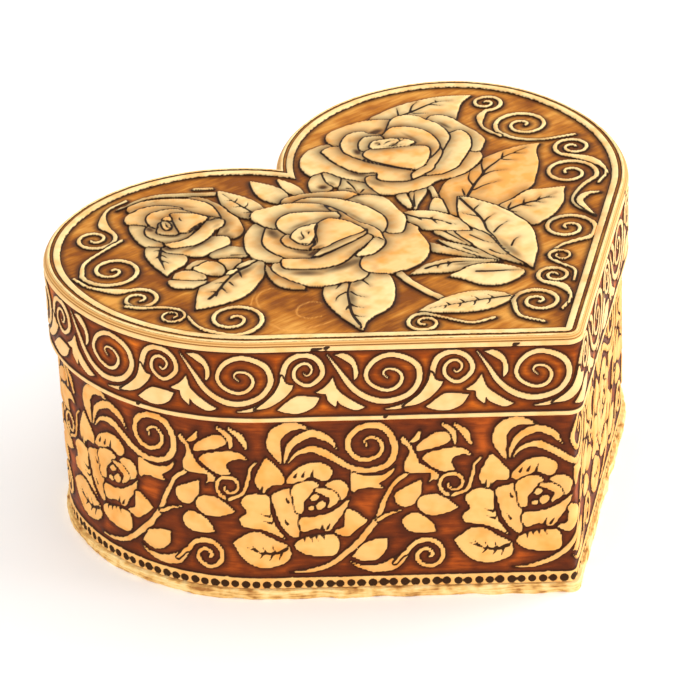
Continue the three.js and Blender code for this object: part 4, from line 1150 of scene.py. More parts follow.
@dataclass
class LidTop:
    """The lid's top: a thin board under a wider sheet with roses, leaves and scrolls inside a border."""

    heart: HeartLine
    sizes: BoxSizes
    finish: CarvedBark
    cell: float = 0.41
    columns: int = 640
    seam: float = -2.4
    rose_step: float = 0.13
    border_half: float = 0.7
    edge_line: tuple[float, float] = (1.68, 2.2)
    groove_depth: float = 0.35
    relief_end: float = -0.9
    drawn_off: float = 0.1
    ply_start: float = 2.3

    leaves: ClassVar[tuple] = (
        ((-18.5, 27), (-18, 46.5), 8.0, 0.4, 3), ((-9.6, 29.5), (-9.2, 45), 6.5, 0, 0),
        ((-4.6, 29.5), (-3.6, 41.6), 3.6, 0, 0), ((1, -41), (-19.7, -31.8), 9, -0.6, 4))
    scrolls: ClassVar[tuple] = (
        ((-54.6, 46.6), 5.2, 0, -540, 1.1, ((-37.5, 57.3), (-44, 56.3), (-48.8, 51.2)), 2.4),
        ((-60.4, 31.3), 7.4, 160, 630, 1.2, ((-50, 41.8), (-57, 40.4), (-63.4, 38.4)), 1.0),
        ((-63.8, 16.2), 4.9, 80, -540, 1.1, ((-69.3, 34.5), (-69, 28.5), (-65.6, 22.8)), 2.2),
        ((-53.2, -6), 7.4, 225, 585, 1.2, ((-60, 3), (-61.2, -4)), 1.0),
        ((-21.9, -36.6), 4.2, 50, 540, 1.0, ((-8.5, -45.4), (-14, -43.6), (-17.2, -37.5)), 1.0),
        ((3.8, -46.4), 5.7, 140, -600, 1.2, ((-1.5, -54.5), (-3.6, -48.4)), 1.0),
        ((14.7, -39.8), 4.1, 190, -560, 1.1, ((5.5, -52.7), (10.6, -50), (12.6, -45)), 2.0),
        ((32.3, -24.6), 7.0, 270, 600, 1.2, ((20, -31.2), (26, -30.2)), 1.0),
        ((51.2, -4), 6.8, 300, 560, 1.2, ((41.2, -24), (41.6, -16), (48, -11.6)), 1.0),
        ((60.9, 5.4), 4.8, 190, -560, 1.1, ((53, -12.6), (58.4, -9.4), (59.6, -2.8)), 2.4),
        ((59.8, 22.8), 7.3, 180, -600, 1.2, ((65.8, 10.2), (58, 13.6), (53.6, 18.4)), 1.0),
        ((60.8, 38.4), 4.3, 230, 560, 1.1, ((51.6, 22), (51.4, 28.4), (54.6, 33.2)), 2.0),
        ((-62.8, 4.7), 3.2, 20, -480, 0.7, ((-68, 15.5), (-66, 12.5), (-62, 9.5), (-60, 6.5)), 1.0),
        ((22, -33.8), 3.0, 200, -450, 0.8, ((16.5, -44.5), (19.8, -41), (19.5, -37)), 1.0))

    def profile(self) -> list[tuple[float, float]]:
        """The lid's section from the seam out over the border and the edge.

        Returns:
            Offsets from the heart line and base heights, ring by ring.
        """
        s = self.sizes
        ground, top, groove = s.lid_ground, s.height, s.height - self.groove_depth
        return [(self.seam, ground), (-1.9, ground), (-1.4, ground), (-1.05, ground), (-0.86, ground + 0.12),
                (-0.72, top - 0.16), (-0.6, top), (-0.3, top + 0.02), (0.0, top + 0.03), (0.3, top + 0.02),
                (0.6, top), (0.7, top - 0.1), (0.82, groove + 0.03), (1.0, groove), (1.25, groove + 0.04),
                (1.45, groove), (1.58, groove + 0.05), (1.7, top - 0.1), (1.85, top - 0.02), (2.05, top - 0.06),
                (2.2, top - 0.2), (2.36, top - 0.42), (2.5, top - 0.5), (2.6, top - 0.66), (2.74, top - 0.74),
                (2.82, top - 0.9), (2.9, s.sheet_under)]

    def draw(self, sheet: Carving, offset: np.ndarray) -> None:
        """Draws every motif of the lid.

        Args:
            sheet: the lid's ground.
            offset: how far outside the heart line each of its points lies.
        """
        relief = self.sizes.lid_relief
        # Every motif pressed here throws a painted shadow on the motifs below it; scored veins get painted shade beside
        # them, and shade is painted into hollows.
        for row in self.scrolls:
            sheet.press(scroll(*row), relief * 0.9, cast=0.3)
        for points in (((-41, 1.5), (-46.5, -4), (-48, -12), (-46, -19), (-35, -21.5), (-27, -19.5)),
                       ((-33, -14), (-34.5, -11.4), (-37.8, -11), (-40.6, -13.4), (-40, -16.6), (-37, -18)),
                       ((-49, 8.6), (-51, 4.6), (-52.4, 4.2)), ((-34, -3), (-38.5, 0.2), (-43, -1.4), (-46, -7))):
            sheet.scratch(ribbon(points, (0.1, 0.25, 0.1)), 0.55)
        sheet.press(ribbon(((-42, 54.9), (-36.4, 55.3), (-32.6, 54.9), (-29.2, 53.3), (-24.5, 49.6), (-19.2, 45.5)),
                           (0.3, 0.7, 1.3, 1.6, 1.5)), relief, cast=0.3)
        sheet.press(ribbon(((-21.7, 51.1), (-18.2, 48.3)), (0.7, 0.8)), relief, cast=0.3)
        sheet.press(ribbon(((41, -24.5), (43, -17), (47, -15.2), (50.2, -16.7)), (0.3, 1.6, 1.8, 0.3)), relief)
        sheet.press(ribbon(((-11.4, -14), (-12.4, -22), (-11.8, -31.5)), (2.0, 1.7, 1.7)), relief)
        for i, (base, tip, width, bow, pairs) in enumerate(self.leaves):
            sheet.press(leaf(base, tip, width, bow), relief + 0.02 * i, tint=0.1, cast=0.6)
            if pairs:
                sheet.veins(base, tip, bow, width, pairs)
        for i, (tint, points, strokes, hollows) in enumerate(LEAVES):
            sheet.press(blade(*points), relief + 0.02 * (i % 4), tint=tint, cast=0.75)
            for stroke in strokes:
                widest = 0.75 if len(stroke) > 3 else 0.5
                sheet.score(ribbon(stroke, (widest, 0.8 * widest, 0.1)), painted_shade_beside=0.5)
            for hollow in hollows:
                sheet.paint_hollow_shade(*hollow)
        for rose in (LEFT_ROSE, MIDDLE_ROSE, RIGHT_ROSE):
            rose.carve(sheet, relief + 0.08, self.rose_step)
        middle, half = sum(self.edge_line) / 2, (self.edge_line[1] - self.edge_line[0]) / 2
        steep = np.where(offset > 0, 2.6, 1.0)
        for gap in (np.abs(offset) - self.border_half, np.abs(offset - middle) - half):
            sheet.edge = np.maximum(sheet.edge, -gap * np.where(gap > 0, steep, 1.0))
            sheet.line = np.where(gap < 0, sheet.FAR, sheet.line)

    def build(self) -> bpy.types.Object:
        """Makes the lid's top.

        Returns:
            The finished piece.
        """
        s = self.sizes
        station = np.linspace(-1.0, 1.0, self.columns, endpoint=False) * self.heart.half(s.rim_face)
        rings = self.profile()
        ring_xy = [np.column_stack(self.heart.place(station, s.rim_face, np.full(len(station), off)))
                   for off, _ in rings]
        inner = ring_xy[0]
        xs = np.arange(-74.0, 74.0, self.cell)
        ys = np.arange(-64.0, 66.0, self.cell)
        grid_x, grid_y = np.meshgrid(xs, ys, indexing="ij")
        inside = self.heart.offset_of(grid_x, grid_y) < self.seam - 0.55 * self.cell
        full = inside[:-1, :-1] & inside[1:, :-1] & inside[1:, 1:] & inside[:-1, 1:]
        used = np.zeros_like(inside)
        for di in (0, 1):
            for dj in (0, 1):
                used[di:used.shape[0] - 1 + di, dj:used.shape[1] - 1 + dj] |= full
        index = np.full(inside.shape, -1)
        index[used] = np.arange(used.sum())
        field_xy = np.column_stack([grid_x[used], grid_y[used]])
        i, j = np.nonzero(full)
        faces = np.column_stack([index[i, j], index[i + 1, j], index[i + 1, j + 1], index[i, j + 1]]).tolist()

        count = len(field_xy)
        rim_index = count + np.arange(self.columns)
        faces += self.stitch(field_xy, index, full, inner, xs, ys, rim_index)
        for k in range(len(rings) - 1):
            faces += self.strip(count + k * self.columns)
        flat = np.vstack([field_xy, *ring_xy])
        base = np.concatenate([np.full(count, s.lid_ground)] + [np.full(self.columns, z) for _, z in rings])
        offset = np.concatenate([self.heart.offset_of(*field_xy.T)]
                                + [np.full(self.columns, off) for off, _ in rings])
        sheet = Carving(flat[:, 0], flat[:, 1] + self.drawn_off)
        self.draw(sheet, offset)
        carved = offset < self.relief_end
        rough = value_noise(*flat.T, 1.1, 3) * 0.035 + value_noise(*flat.T, 9.0, 4) * 0.05
        height = base + np.where(carved, sheet.height, 0.0) + rough * (offset < self.edge_line[1])
        groove = np.where(sheet.edge > 0.2, 0.1 * np.exp(-(sheet.line / 0.22) ** 2), 0.0)
        height -= np.where(carved, groove, 0.0)
        points = np.column_stack([flat, height])
        ply = np.clip(offset - self.ply_start, 0.0, None) * 1.6
        under = []
        for off, z in ((s.board_edge, s.sheet_under), (s.board_edge, s.board_under)):
            x, y = self.heart.place(station, s.rim_face, np.full(len(station), off))
            under.append(np.column_stack([x, y, np.full(len(x), z)]))
        last = len(points) - self.columns
        faces += self.strip(last) + self.strip(last + self.columns)
        faces.append(list(range(last + 2 * self.columns, last + 3 * self.columns))[::-1])
        points = np.vstack([points, *under])
        piece = mesh_object("carved_lid", points * MM, faces, sheet.values(ply, 2 * self.columns))
        piece.data.materials.append(self.finish.material())
        return piece

    def strip(self, start: int) -> list[list[int]]:
        """Faces between a ring of points and the next one."""
        n = self.columns
        return [[start + i, start + (i + 1) % n, start + n + (i + 1) % n, start + n + i][::-1] for i in range(n)]

    def stitch(self, field_xy: np.ndarray, index: np.ndarray, full: np.ndarray, inner: np.ndarray,
               xs: np.ndarray, ys: np.ndarray, rim_index: np.ndarray) -> list[list[int]]:
        """Joins the square field to the innermost ring with triangles.

        Args:
            field_xy: points of the field.
            index: the number of each grid place's point, or -1.
            full: which grid cells the field fills.
            inner: points of the innermost ring.
            xs: the grid's places along X.
            ys: the grid's places along Y.
            rim_index: the number of each of the ring's points.

        Returns:
            The triangles.
        """
        padded = np.pad(full, 1)
        edges = set()
        for axis, step in ((0, (0, 1)), (1, (1, 0))):
            change = np.argwhere(np.diff(padded.astype(int), axis=axis) != 0)
            for a, b in change:
                i, j = (a, b - 1) if axis == 0 else (a - 1, b)
                edges.add((int(index[i, j]), int(index[i + step[0], j + step[1]])))
        border = sorted({p for edge in edges for p in edge})
        local = {p: k for k, p in enumerate(border)}
        coords = [Vector(field_xy[p]) for p in border] + [Vector(p) for p in inner]
        links = [(local[a], local[b]) for a, b in edges]
        n, m = len(border), len(inner)
        links += [(n + k, n + (k + 1) % m) for k in range(m)]
        _, _, triangles, origins, _, _ = delaunay_2d_cdt(coords, links, [], 1, 1e-6)
        number = border + rim_index.tolist()
        spot = np.array([tuple(c) for c in coords])
        result = []
        for triangle in triangles:
            ids = [origins[v][0] for v in triangle]
            middle = spot[ids].mean(0)
            cell_i = int((middle[0] - xs[0]) // self.cell)
            cell_j = int((middle[1] - ys[0]) // self.cell)
            inside_field = 0 <= cell_i < full.shape[0] and 0 <= cell_j < full.shape[1] and full[cell_i, cell_j]
            outside = self.heart.offset_of(middle[:1], middle[1:])[0] > self.seam + 0.01
            if not inside_field and not outside:
                result.append([number[k] for k in ids])
        return result


@dataclass
class Band:
    """A bark band round the heart: a dense carved outside, and plain edges and inside."""

    heart: HeartLine
    sizes: BoxSizes
    finish: CarvedBark
    name: str
    columns: int
    rows: int
    pitch: float
    start: float

    def faces(self, rows: int) -> np.ndarray:
        """Joins rows into a tube that closes round the heart and from its last row to its first.

        Args:
            rows: how many rows there are.

        Returns:
            The four corners of each face.
        """
        n = self.columns
        i = np.arange(n)
        after = (i + 1) % n
        faces = []
        for k in range(rows):
            a, b = k * n, (k + 1) % rows * n
            faces.append(np.column_stack([a + i, a + after, b + after, b + i]))
        return np.vstack(faces)

    def sheet(self, face: float, z: np.ndarray) -> tuple[np.ndarray, np.ndarray]:
        """Places of the band's outside points.

        Args:
            face: the outside's distance from the heart line.
            z: the heights of its rows.

        Returns:
            The station and the height of each point, row by row.
        """
        station = np.linspace(-1.0, 1.0, self.columns, endpoint=False) * self.heart.half(face)
        return np.tile(station, len(z)), np.repeat(z, self.columns)

    def wrapped(self, face: float, sheet: Carving, z: np.ndarray, ground: float,
                inside: Sequence[tuple[float, float]]) -> bpy.types.Object:
        """Bends a carved strip round the heart and closes its back.

        Args:
            face: the outside's distance from the heart line.
            sheet: the carving on the strip.
            z: the heights of the strip's rows.
            ground: the ground's distance from the heart line.
            inside: offset and height of each row of the back, from the top edge down to the foot.

        Returns:
            The band.
        """
        offset = ground + sheet.height
        x, y = self.heart.place(sheet.u, face, offset)
        rings = [np.column_stack([x, y, sheet.v])]
        station = sheet.u[:self.columns]
        for off, height in inside:
            x, y = self.heart.place(station, face, np.full(len(station), off))
            rings.append(np.column_stack([x, y, np.full(len(station), height)]))
        points = np.vstack(rings)
        values = sheet.values(np.zeros(len(sheet.u)), len(points) - len(sheet.u))
        faces = self.faces(len(z) + len(inside))
        u = np.concatenate([sheet.u, np.tile(station, len(inside))])
        v = points[:, 2]
        corner_u, half = u[faces], self.heart.half(face)
        seam = corner_u.max(1) - corner_u.min(1) > half
        corner_u = np.where(seam[:, None] & (corner_u < 0), corner_u + 2 * half, corner_u)
        wrap = np.stack([corner_u, v[faces]], axis=-1).reshape(-1, 2) * MM
        piece = mesh_object(self.name, points * MM, faces, values, wrap)
        piece.data.materials.append(self.finish.material())
        return piece

    def stripe(self, sheet: Carving, low: float, high: float, level: float) -> None:
        """Raises a line that runs right round the band between two heights."""
        gap = np.abs(sheet.v - (low + high) / 2) - (high - low) / 2
        near = np.flatnonzero(gap < 4.0)
        # Tint 0.1; the line throws a faint painted shadow, 0.2 dark, on motifs beside it.
        sheet.lay(near, gap[near], level, 0.1, 0.2)

    def origins(self, face: float) -> list[tuple[int, float]]:
        """The number and the station of each repeat that reaches the band.

        Args:
            face: the band's distance from the heart line.

        Returns:
            The repeats, from one side of the notch to the other, where the last of them is cut.
        """
        half = self.heart.half(face)
        most = math.ceil(half / self.pitch) + 1
        places = [(i, self.start + i * self.pitch) for i in range(-most, most + 1)]
        return [(i, origin) for i, origin in places if abs(origin) <= half + self.pitch]

    def repeat(self, sheet: Carving, face: float, motifs: Sequence[Blade | Ribbon], tints: Sequence[float]) -> None:
        """Repeats a pattern right round the band.

        Args:
            sheet: the band's carving.
            face: its distance from the heart line.
            motifs: the pattern, as drawn at its first repeat.
            tints: how golden the motifs are, in turn.
        """
        placed = [moved(motif, -self.start) for motif in motifs]
        for i, origin in self.origins(face):
            for k, motif in enumerate(placed):
                # Each motif throws a faint painted shadow on the motifs below it.
                sheet.press(moved(motif, origin), self.sizes.band_relief, tint=tints[(k + i) % len(tints)], cast=0.25)


@dataclass
class LidRim(Band):
    """The band round the lid, with its running scrolls."""

    name: str = "scroll_rim"
    columns: int = 1460
    rows: int = 62
    pitch: float = 33.9
    start: float = -43.0

    nicks: ClassVar[tuple] = (
        (-44.2, 49.8, 0.6), (-60.0, 67.9, 2.2), (-57.0, 68.2, 0.8), (-103.0, 49.9, 0.7), (-14.5, 68.0, 1.2),
        (22.0, 49.6, 0.5), (71.0, 68.1, 1.6), (128.0, 49.8, 0.6))
    big_curl: ClassVar[tuple] = (
        (-56.8, 66.4), (-54, 62), (-51.5, 57.5), (-48, 54.8), (-44, 53.7), (-39, 55.2), (-36.5, 58),
        (-35.7, 61), (-37, 64.5), (-42, 66.6), (-46, 65.3), (-48.5, 61.5), (-47.5, 58.5), (-44, 56.6),
        (-41, 57.5), (-39.7, 60.2), (-41, 62.3), (-43.5, 62.7), (-44.5, 61.3), (-43.3, 60.1))
    small_curl: ClassVar[tuple] = (
        (-44, 51.9), (-40, 52.5), (-36.5, 54.3), (-33.7, 58), (-33.2, 61.5), (-32, 65.5), (-28.5, 67),
        (-25, 65.5), (-23.7, 62), (-25.5, 59.5), (-28, 58.2), (-30.8, 60.5), (-30.3, 63.5),
        (-28, 64.8), (-26.3, 63.4), (-26.6, 61.8), (-27.8, 61), (-28.3, 61.8))

    def pattern(self) -> list[Blade | Ribbon]:
        """Draws one repeat of the rim.

        Returns:
            Its curls and leaves, from the lowest to the highest.
        """
        return [
            ribbon(rounded(self.big_curl), (0.3, 1.3, 1.5, 1.3, 1.4, 1.2, 0.9, 0.9, 0.4)),
            ribbon(rounded(self.small_curl), (0.3, 1.6, 1.5, 1.3, 1.3, 1.1, 0.9, 0.8, 0.4)),
            blade((-40, 52.6, 1), (-37, 52.9), (-34, 54.6), (-31.6, 57.2), (-30.8, 58.8, 1), (-32.4, 59.3),
                  (-33.4, 61.5), (-34.2, 59), (-36, 56)),
            blade((-55.3, 66.5, 1), (-53, 66.8), (-51, 65.5), (-50, 63), (-50, 61), (-51, 59.6, 1), (-51.2, 63.3),
                  (-53, 65)),
            blade((-55.8, 60.6, 1), (-54.5, 57), (-51, 54), (-48.5, 52.5, 1), (-51, 51.8), (-54, 53.2), (-55, 54.5, 1),
                  (-55.3, 52.6, 1), (-57, 54.3), (-57.4, 56.2, 1), (-59.9, 56.6, 1), (-57.5, 58.3)),
            blade((-34.9, 52.2, 1), (-31.5, 55.2), (-29.5, 55.9), (-24.9, 55.4, 1), (-26.5, 52.8), (-29.5, 51.3),
                  (-32.5, 51.4)),
        ]

    def build(self) -> bpy.types.Object:
        """Makes the rim.

        Returns:
            The finished piece.
        """
        s = self.sizes
        z = np.linspace(s.rim_foot, s.rim_top, self.rows)
        u, v = self.sheet(s.rim_face, z)
        sheet = Carving(u + value_noise(u, v, 3.0, 11) * 0.12, v + value_noise(u, v, 6.0, 12) * 0.1, wall=0.4)
        self.repeat(sheet, s.rim_face, self.pattern(), (0.1, 0.0, 0.2))
        self.stripe(sheet, s.rim_foot - 1.0, s.rim_foot + s.rim_line, s.band_relief)
        self.stripe(sheet, s.rim_top - s.rim_line, s.rim_top + 1.0, s.band_relief)
        sheet.u, sheet.v = u, v
        for at, height, long in self.nicks:
            sheet.score(Ribbon(np.array([(at, height), (at + long, height + 0.3)]), np.array([0.9, 0.3])), depth=0.3)
        sheet.height += value_noise(u, v, 1.0, 13) * 0.03 + value_noise(u, v, 14.0, 14) * 0.06
        lip = np.exp(-(s.rim_top - v) / 0.25) + np.exp(-(v - s.rim_foot) / 0.25)
        sheet.height -= 0.22 * lip
        ground = s.rim_face - s.band_relief
        inside = ((s.rim_inner, s.rim_top), (s.rim_inner, s.rim_foot))
        return self.wrapped(s.rim_face, sheet, z, ground, inside)


@dataclass
class BodyWall(Band):
    """The body's wall, with its roses, buds and scrolls over a margin with a row of punched dots."""

    name: str = "rose_wall"
    columns: int = 960
    rows: int = 98
    pitch: float = 51.8
    start: float = -61.0
    field_top: float = 50.6
    dot_pitch: float = 2.5
    dot_radius: float = 1.05
    dot_height: float = 3.6
    dot_depth: float = 0.4

    midrib: ClassVar[tuple] = ((-76.5, 14.2), (-73, 12.6), (-69.8, 12.3), (-67.2, 13.4))
    twigs: ClassVar[tuple] = (
        ((-74, 13), (-75.4, 15)), ((-71.8, 12.3), (-73, 14.8)), ((-69.8, 12.3), (-70.6, 14.8)),
        ((-72.4, 12.5), (-73.6, 10.8)), ((-70.3, 12.2), (-71.2, 10.2)), ((-68.4, 12.7), (-69, 10.4)))
    ticks: ClassVar[tuple] = (
        ((-70.4, 20.8), (-72.3, 21.4)), ((-70.7, 22.6), (-72.8, 23.4)), ((-62.8, 16.8), (-62.8, 15.1)),
        ((-61.4, 17.1), (-61.2, 15.2)), ((-60.1, 17.4), (-59.8, 15.5)), ((-58.7, 17.4), (-58.2, 15.8)),
        ((-66.6, 20.4), (-67.4, 22)), ((-57.4, 19), (-56.6, 20.4)), ((-58.8, 18.8), (-58.4, 20.6)),
        ((-72.4, 29.4), (-72, 31.2)), ((-71.2, 29), (-71, 30.6)), ((-64.4, 33.2), (-63.8, 34.6)),
        ((-62.6, 33.4), (-62, 34.8)), ((-60.6, 33.4), (-60.2, 35.2)), ((-66.2, 26.4), (-66.8, 27.8)))

    def flower(self) -> list[Blade | Ribbon]:
        """Draws the rose of one repeat.

        Returns:
            Its petals, from the lowest to the highest.
        """
        return [
            blade((-66.5, 32), (-64.5, 35), (-61, 37), (-57.5, 36.5), (-55.8, 34.5), (-57.2, 32), (-61, 33),
                  (-64, 31.2)),
            blade((-71, 38.7, 1), (-73.6, 33), (-73, 30), (-71.5, 28.8), (-70, 31), (-67.2, 31.2), (-67, 33.5),
                  (-69, 36.5)),
            blade((-66.5, 30), (-70, 28.5), (-69.5, 25), (-68, 20), (-65.5, 16.8), (-64, 17.5), (-64.3, 25),
                  (-65.5, 29)),
            blade((-75, 28.7), (-77.2, 26.5), (-76, 23.8), (-77.8, 22), (-77, 19.8), (-72, 18.8), (-67, 16, 1),
                  (-69.5, 20), (-70.5, 24), (-70.7, 28)),
            blade((-65.5, 29.5), (-64, 31.5), (-60.5, 32), (-59, 30.5), (-61, 28.5), (-62.5, 26.5), (-63, 23.5),
                  (-64.6, 24), (-65, 27)),
            blade((-57.5, 31), (-54.5, 32.2), (-52.3, 30.5), (-52.6, 28), (-54.5, 26.5), (-55.8, 28.8)),
            ribbon(((-59.5, 29.5), (-56.6, 28.6), (-55.6, 27), (-57, 25)), (0.8, 2.2, 2.0, 0.8)),
            oval((-60.2, 27.6), 1.1, 0.8, 30), oval((-58.8, 25.4), 1.3, 1.0, 50), oval((-60.9, 24.6), 0.8, 0.7, 0),
            blade((-63.5, 22), (-60, 22.3), (-56, 23.8), (-52, 27.2, 1), (-53, 24), (-55, 21), (-57, 18.2), (-60, 19),
                  (-63, 18), (-64, 20)),
            blade((-53, 24), (-50.5, 23.3), (-48.1, 20.8, 1), (-50.5, 18.5), (-53, 16.6), (-56, 18), (-53.5, 19.5)),
            blade((-64.8, 15.5), (-61, 16.8), (-56, 17.1), (-54.9, 14.5), (-56, 11.5), (-62, 11.7), (-65, 13.5)),
        ]

    def stems(self) -> list[Blade | Ribbon]:
        """Draws what grows round the rose of one repeat.

        Returns:
            The arching leaves, scrolls, stem, bud and leaves, from the lowest to the highest.
        """
        return [
            ribbon(((-67.5, 37), (-69, 42), (-68, 45.2), (-64.5, 47), (-60.2, 46)), (0.5, 3.0, 3.4, 2.0, 0.2)),
            ribbon(((-66.8, 37), (-65, 42), (-60.5, 44.8), (-56.5, 43.2), (-54.3, 40.3)), (0.4, 1.6, 2.0, 1.8, 0.2)),
            ribbon(rounded(((-66, 37), (-64, 39.8), (-60, 41), (-56, 38.5), (-52, 35.6), (-47.5, 34.2), (-42, 36.2),
                    (-40.7, 41), (-42.6, 45.8), (-46.5, 47.2), (-50.8, 45.4), (-52.3, 41.5), (-50.8, 38.4),
                    (-48, 37.3), (-44.6, 38.6), (-43.6, 41.5), (-45.6, 44), (-48.2, 43), (-47.5, 41.2))),
                   (0.3, 1.8, 1.5, 1.4, 1.6, 1.5, 1.4, 1.1, 0.9, 0.5)),
            blade((-51.4, 34.3, 1), (-48, 33.3), (-44, 33.5), (-41, 35.7, 1), (-42.5, 33), (-45.2, 30.9, 1),
                  (-43.8, 29.6, 1), (-49, 29.8), (-51.3, 28.4, 1), (-51.6, 31)),
            blade((-36.4, 39.5, 1), (-35.7, 41.5), (-33.5, 43.3), (-30.8, 44.6), (-28.9, 44.1), (-28.4, 42),
                  (-32, 40.3)),
            ribbon(((-30, 46.6), (-27.7, 44.4), (-27.3, 41.4)), (0.7, 1.3, 0.8)),
            ribbon(((-27.4, 46.4), (-25, 44.2), (-23.6, 41)), (0.7, 1.6, 0.6)),
            blade((-35.2, 37.6, 1), (-33, 39.2), (-28.1, 40.2), (-25, 39.6), (-23.4, 37.9, 1), (-26, 38.2),
                  (-28.3, 36.6), (-27.4, 34, 1), (-30.3, 33.8), (-33, 35.4)),
            blade((-39.9, 42.8, 1), (-39.3, 43.6), (-38.2, 42.2), (-37.3, 40.8), (-36.6, 38.7), (-35.4, 36.1),
                  (-33, 34.4), (-31, 32.6), (-31.4, 31.2, 1), (-32.4, 31.8), (-33.8, 30.6, 1), (-33, 33.2),
                  (-35.2, 33.6), (-37.4, 33.6), (-39, 34), (-38.9, 36.6), (-37.9, 38.9), (-38.2, 40.8),
                  (-39.3, 41.5)),
            ribbon(((-37.2, 42.2), (-36, 43), (-35.2, 44.8)), (0.9, 1.4, 0.4)),
            ribbon(((-38.8, 33.3), (-41.5, 31), (-44, 26), (-46, 21), (-50, 15.5), (-55, 10.5), (-60, 7.8),
                    (-66.5, 6.8)), (1.0, 1.0, 1.3, 1.4, 1.4, 1.2, 0.2)),
            ribbon(((-45.5, 21), (-43, 22.5), (-40.3, 23.3)), (1.0, 0.8, 0.4)),
            blade((-35.2, 31.8, 1), (-38.4, 30.3), (-41.4, 28.2), (-41, 25.3), (-38.5, 24.4), (-36.2, 26.2),
                  (-35.4, 29)),
            blade((-26.9, 23.8, 1), (-30.4, 22.3), (-34, 22.1), (-36.4, 24.4), (-35.6, 27), (-32.4, 27.6),
                  (-29.4, 26.4)),
            blade((-32.1, 17.6, 1), (-35.5, 17.1), (-38.9, 17.9), (-40, 20.6), (-38, 22.7), (-35, 21.8),
                  (-33, 19.7)),
            scroll((-28, 30.6), 3.4, 270, -440, 0.95),
            ribbon(((-28, 27.3), (-24.8, 29), (-23.5, 33), (-23, 35.5), (-21.5, 37.3)), (0.9, 0.9, 0.8, 0.5)),
            blade((-51.9, 10.9, 1), (-49.5, 14.5), (-46, 15.8), (-43.3, 15.8, 1), (-44, 12.5), (-46, 10.3), (-49, 9.6)),
            ribbon(((-52.3, 9.5), (-50, 8), (-46, 7.5), (-42, 8.8), (-39.6, 11)), (0.2, 1.2, 2.2, 3.0, 1.6)),
            scroll((-34.3, 11), 4.6, 165, -560, 1.2, ((-42, 9), (-40.3, 11)), 1.0),
            blade((-79.9, 15.2, 1), (-76, 18), (-73, 18.1), (-69.5, 15.8), (-66.5, 13.8), (-66.6, 10.6), (-70, 8.6),
                  (-74, 8.6), (-77.5, 11)),
        ]

    def build(self) -> bpy.types.Object:
        """Makes the wall.

        Returns:
            The finished piece.
        """
        s = self.sizes
        z = np.linspace(s.wall_foot, self.field_top, self.rows)
        u, v = self.sheet(s.wall_face, z)
        sheet = Carving(u + value_noise(u, v, 3.0, 21) * 0.12 + value_noise(u, v, 1.1, 25) * 0.13,
                        v + value_noise(u, v, 5.0, 22) * 0.12 + value_noise(u, v, 1.1, 26) * 0.13, wall=0.5)
        self.repeat(sheet, s.wall_face, self.stems() + self.flower(), (0.4, 0.2, 0.5, 0.3))
        for _, origin in self.origins(s.wall_face):
            self.cut_strokes(sheet, origin - self.start)
        self.stripe(sheet, s.wall_foot - 1.0, s.margin_top, s.band_relief)
        sheet.u, sheet.v = u, v
        self.punch(sheet, u, v)
        sheet.height += value_noise(u, v, 1.2, 23) * 0.03 + value_noise(u, v, 14.0, 24) * 0.06
        ground = s.wall_face - s.band_relief
        inside = ((s.wall_face, self.field_top + 0.6), (s.wall_face, s.wall_top), (s.wall_inner, s.wall_top),
                  (s.wall_inner, s.wall_foot))
        return self.wrapped(s.wall_face, sheet, z, ground, inside)

    def cut_strokes(self, sheet: Carving, shift: float) -> None:
        """Scores the veins of the broad leaf beside a rose and the short cuts at its petals' feet.

        Args:
            sheet: the wall's carving.
            shift: how far the repeat lies from the drawn one.
        """
        sheet.score(ribbon([(x + shift, y) for x, y in self.midrib], (0.2, 0.5, 0.7, 0.9)))
        for strokes, widths in ((self.twigs, (0.6, 0.1)), (self.ticks, (0.7, 0.15))):
            for stroke in strokes:
                sheet.score(Ribbon(np.array(stroke) + (shift, 0.0), np.array(widths)))

    def punch(self, sheet: Carving, u: np.ndarray, v: np.ndarray) -> None:
        """Punches the row of dots into the margin.

        Args:
            sheet: the wall's carving.
            u: stations of its points.
            v: heights of its points.
        """
        length = 2 * self.heart.half(self.sizes.wall_face)
        pitch = length / round(length / self.dot_pitch)
        number = np.round(u / pitch)
        chance = np.random.default_rng(31).uniform(-1.0, 1.0, (3, 512))
        pick = number.astype(int) % chance.shape[1]
        middle = number * pitch + 0.16 * chance[0][pick]
        gap = np.hypot(u - middle, v - self.dot_height - 0.1 * chance[1][pick]) - self.dot_radius
        gap += 0.07 * chance[2][pick]
        sheet.line = np.minimum(sheet.line, gap + 0.3)
        sheet.height -= self.dot_depth * smoothstep(0.5 - gap / 0.5)


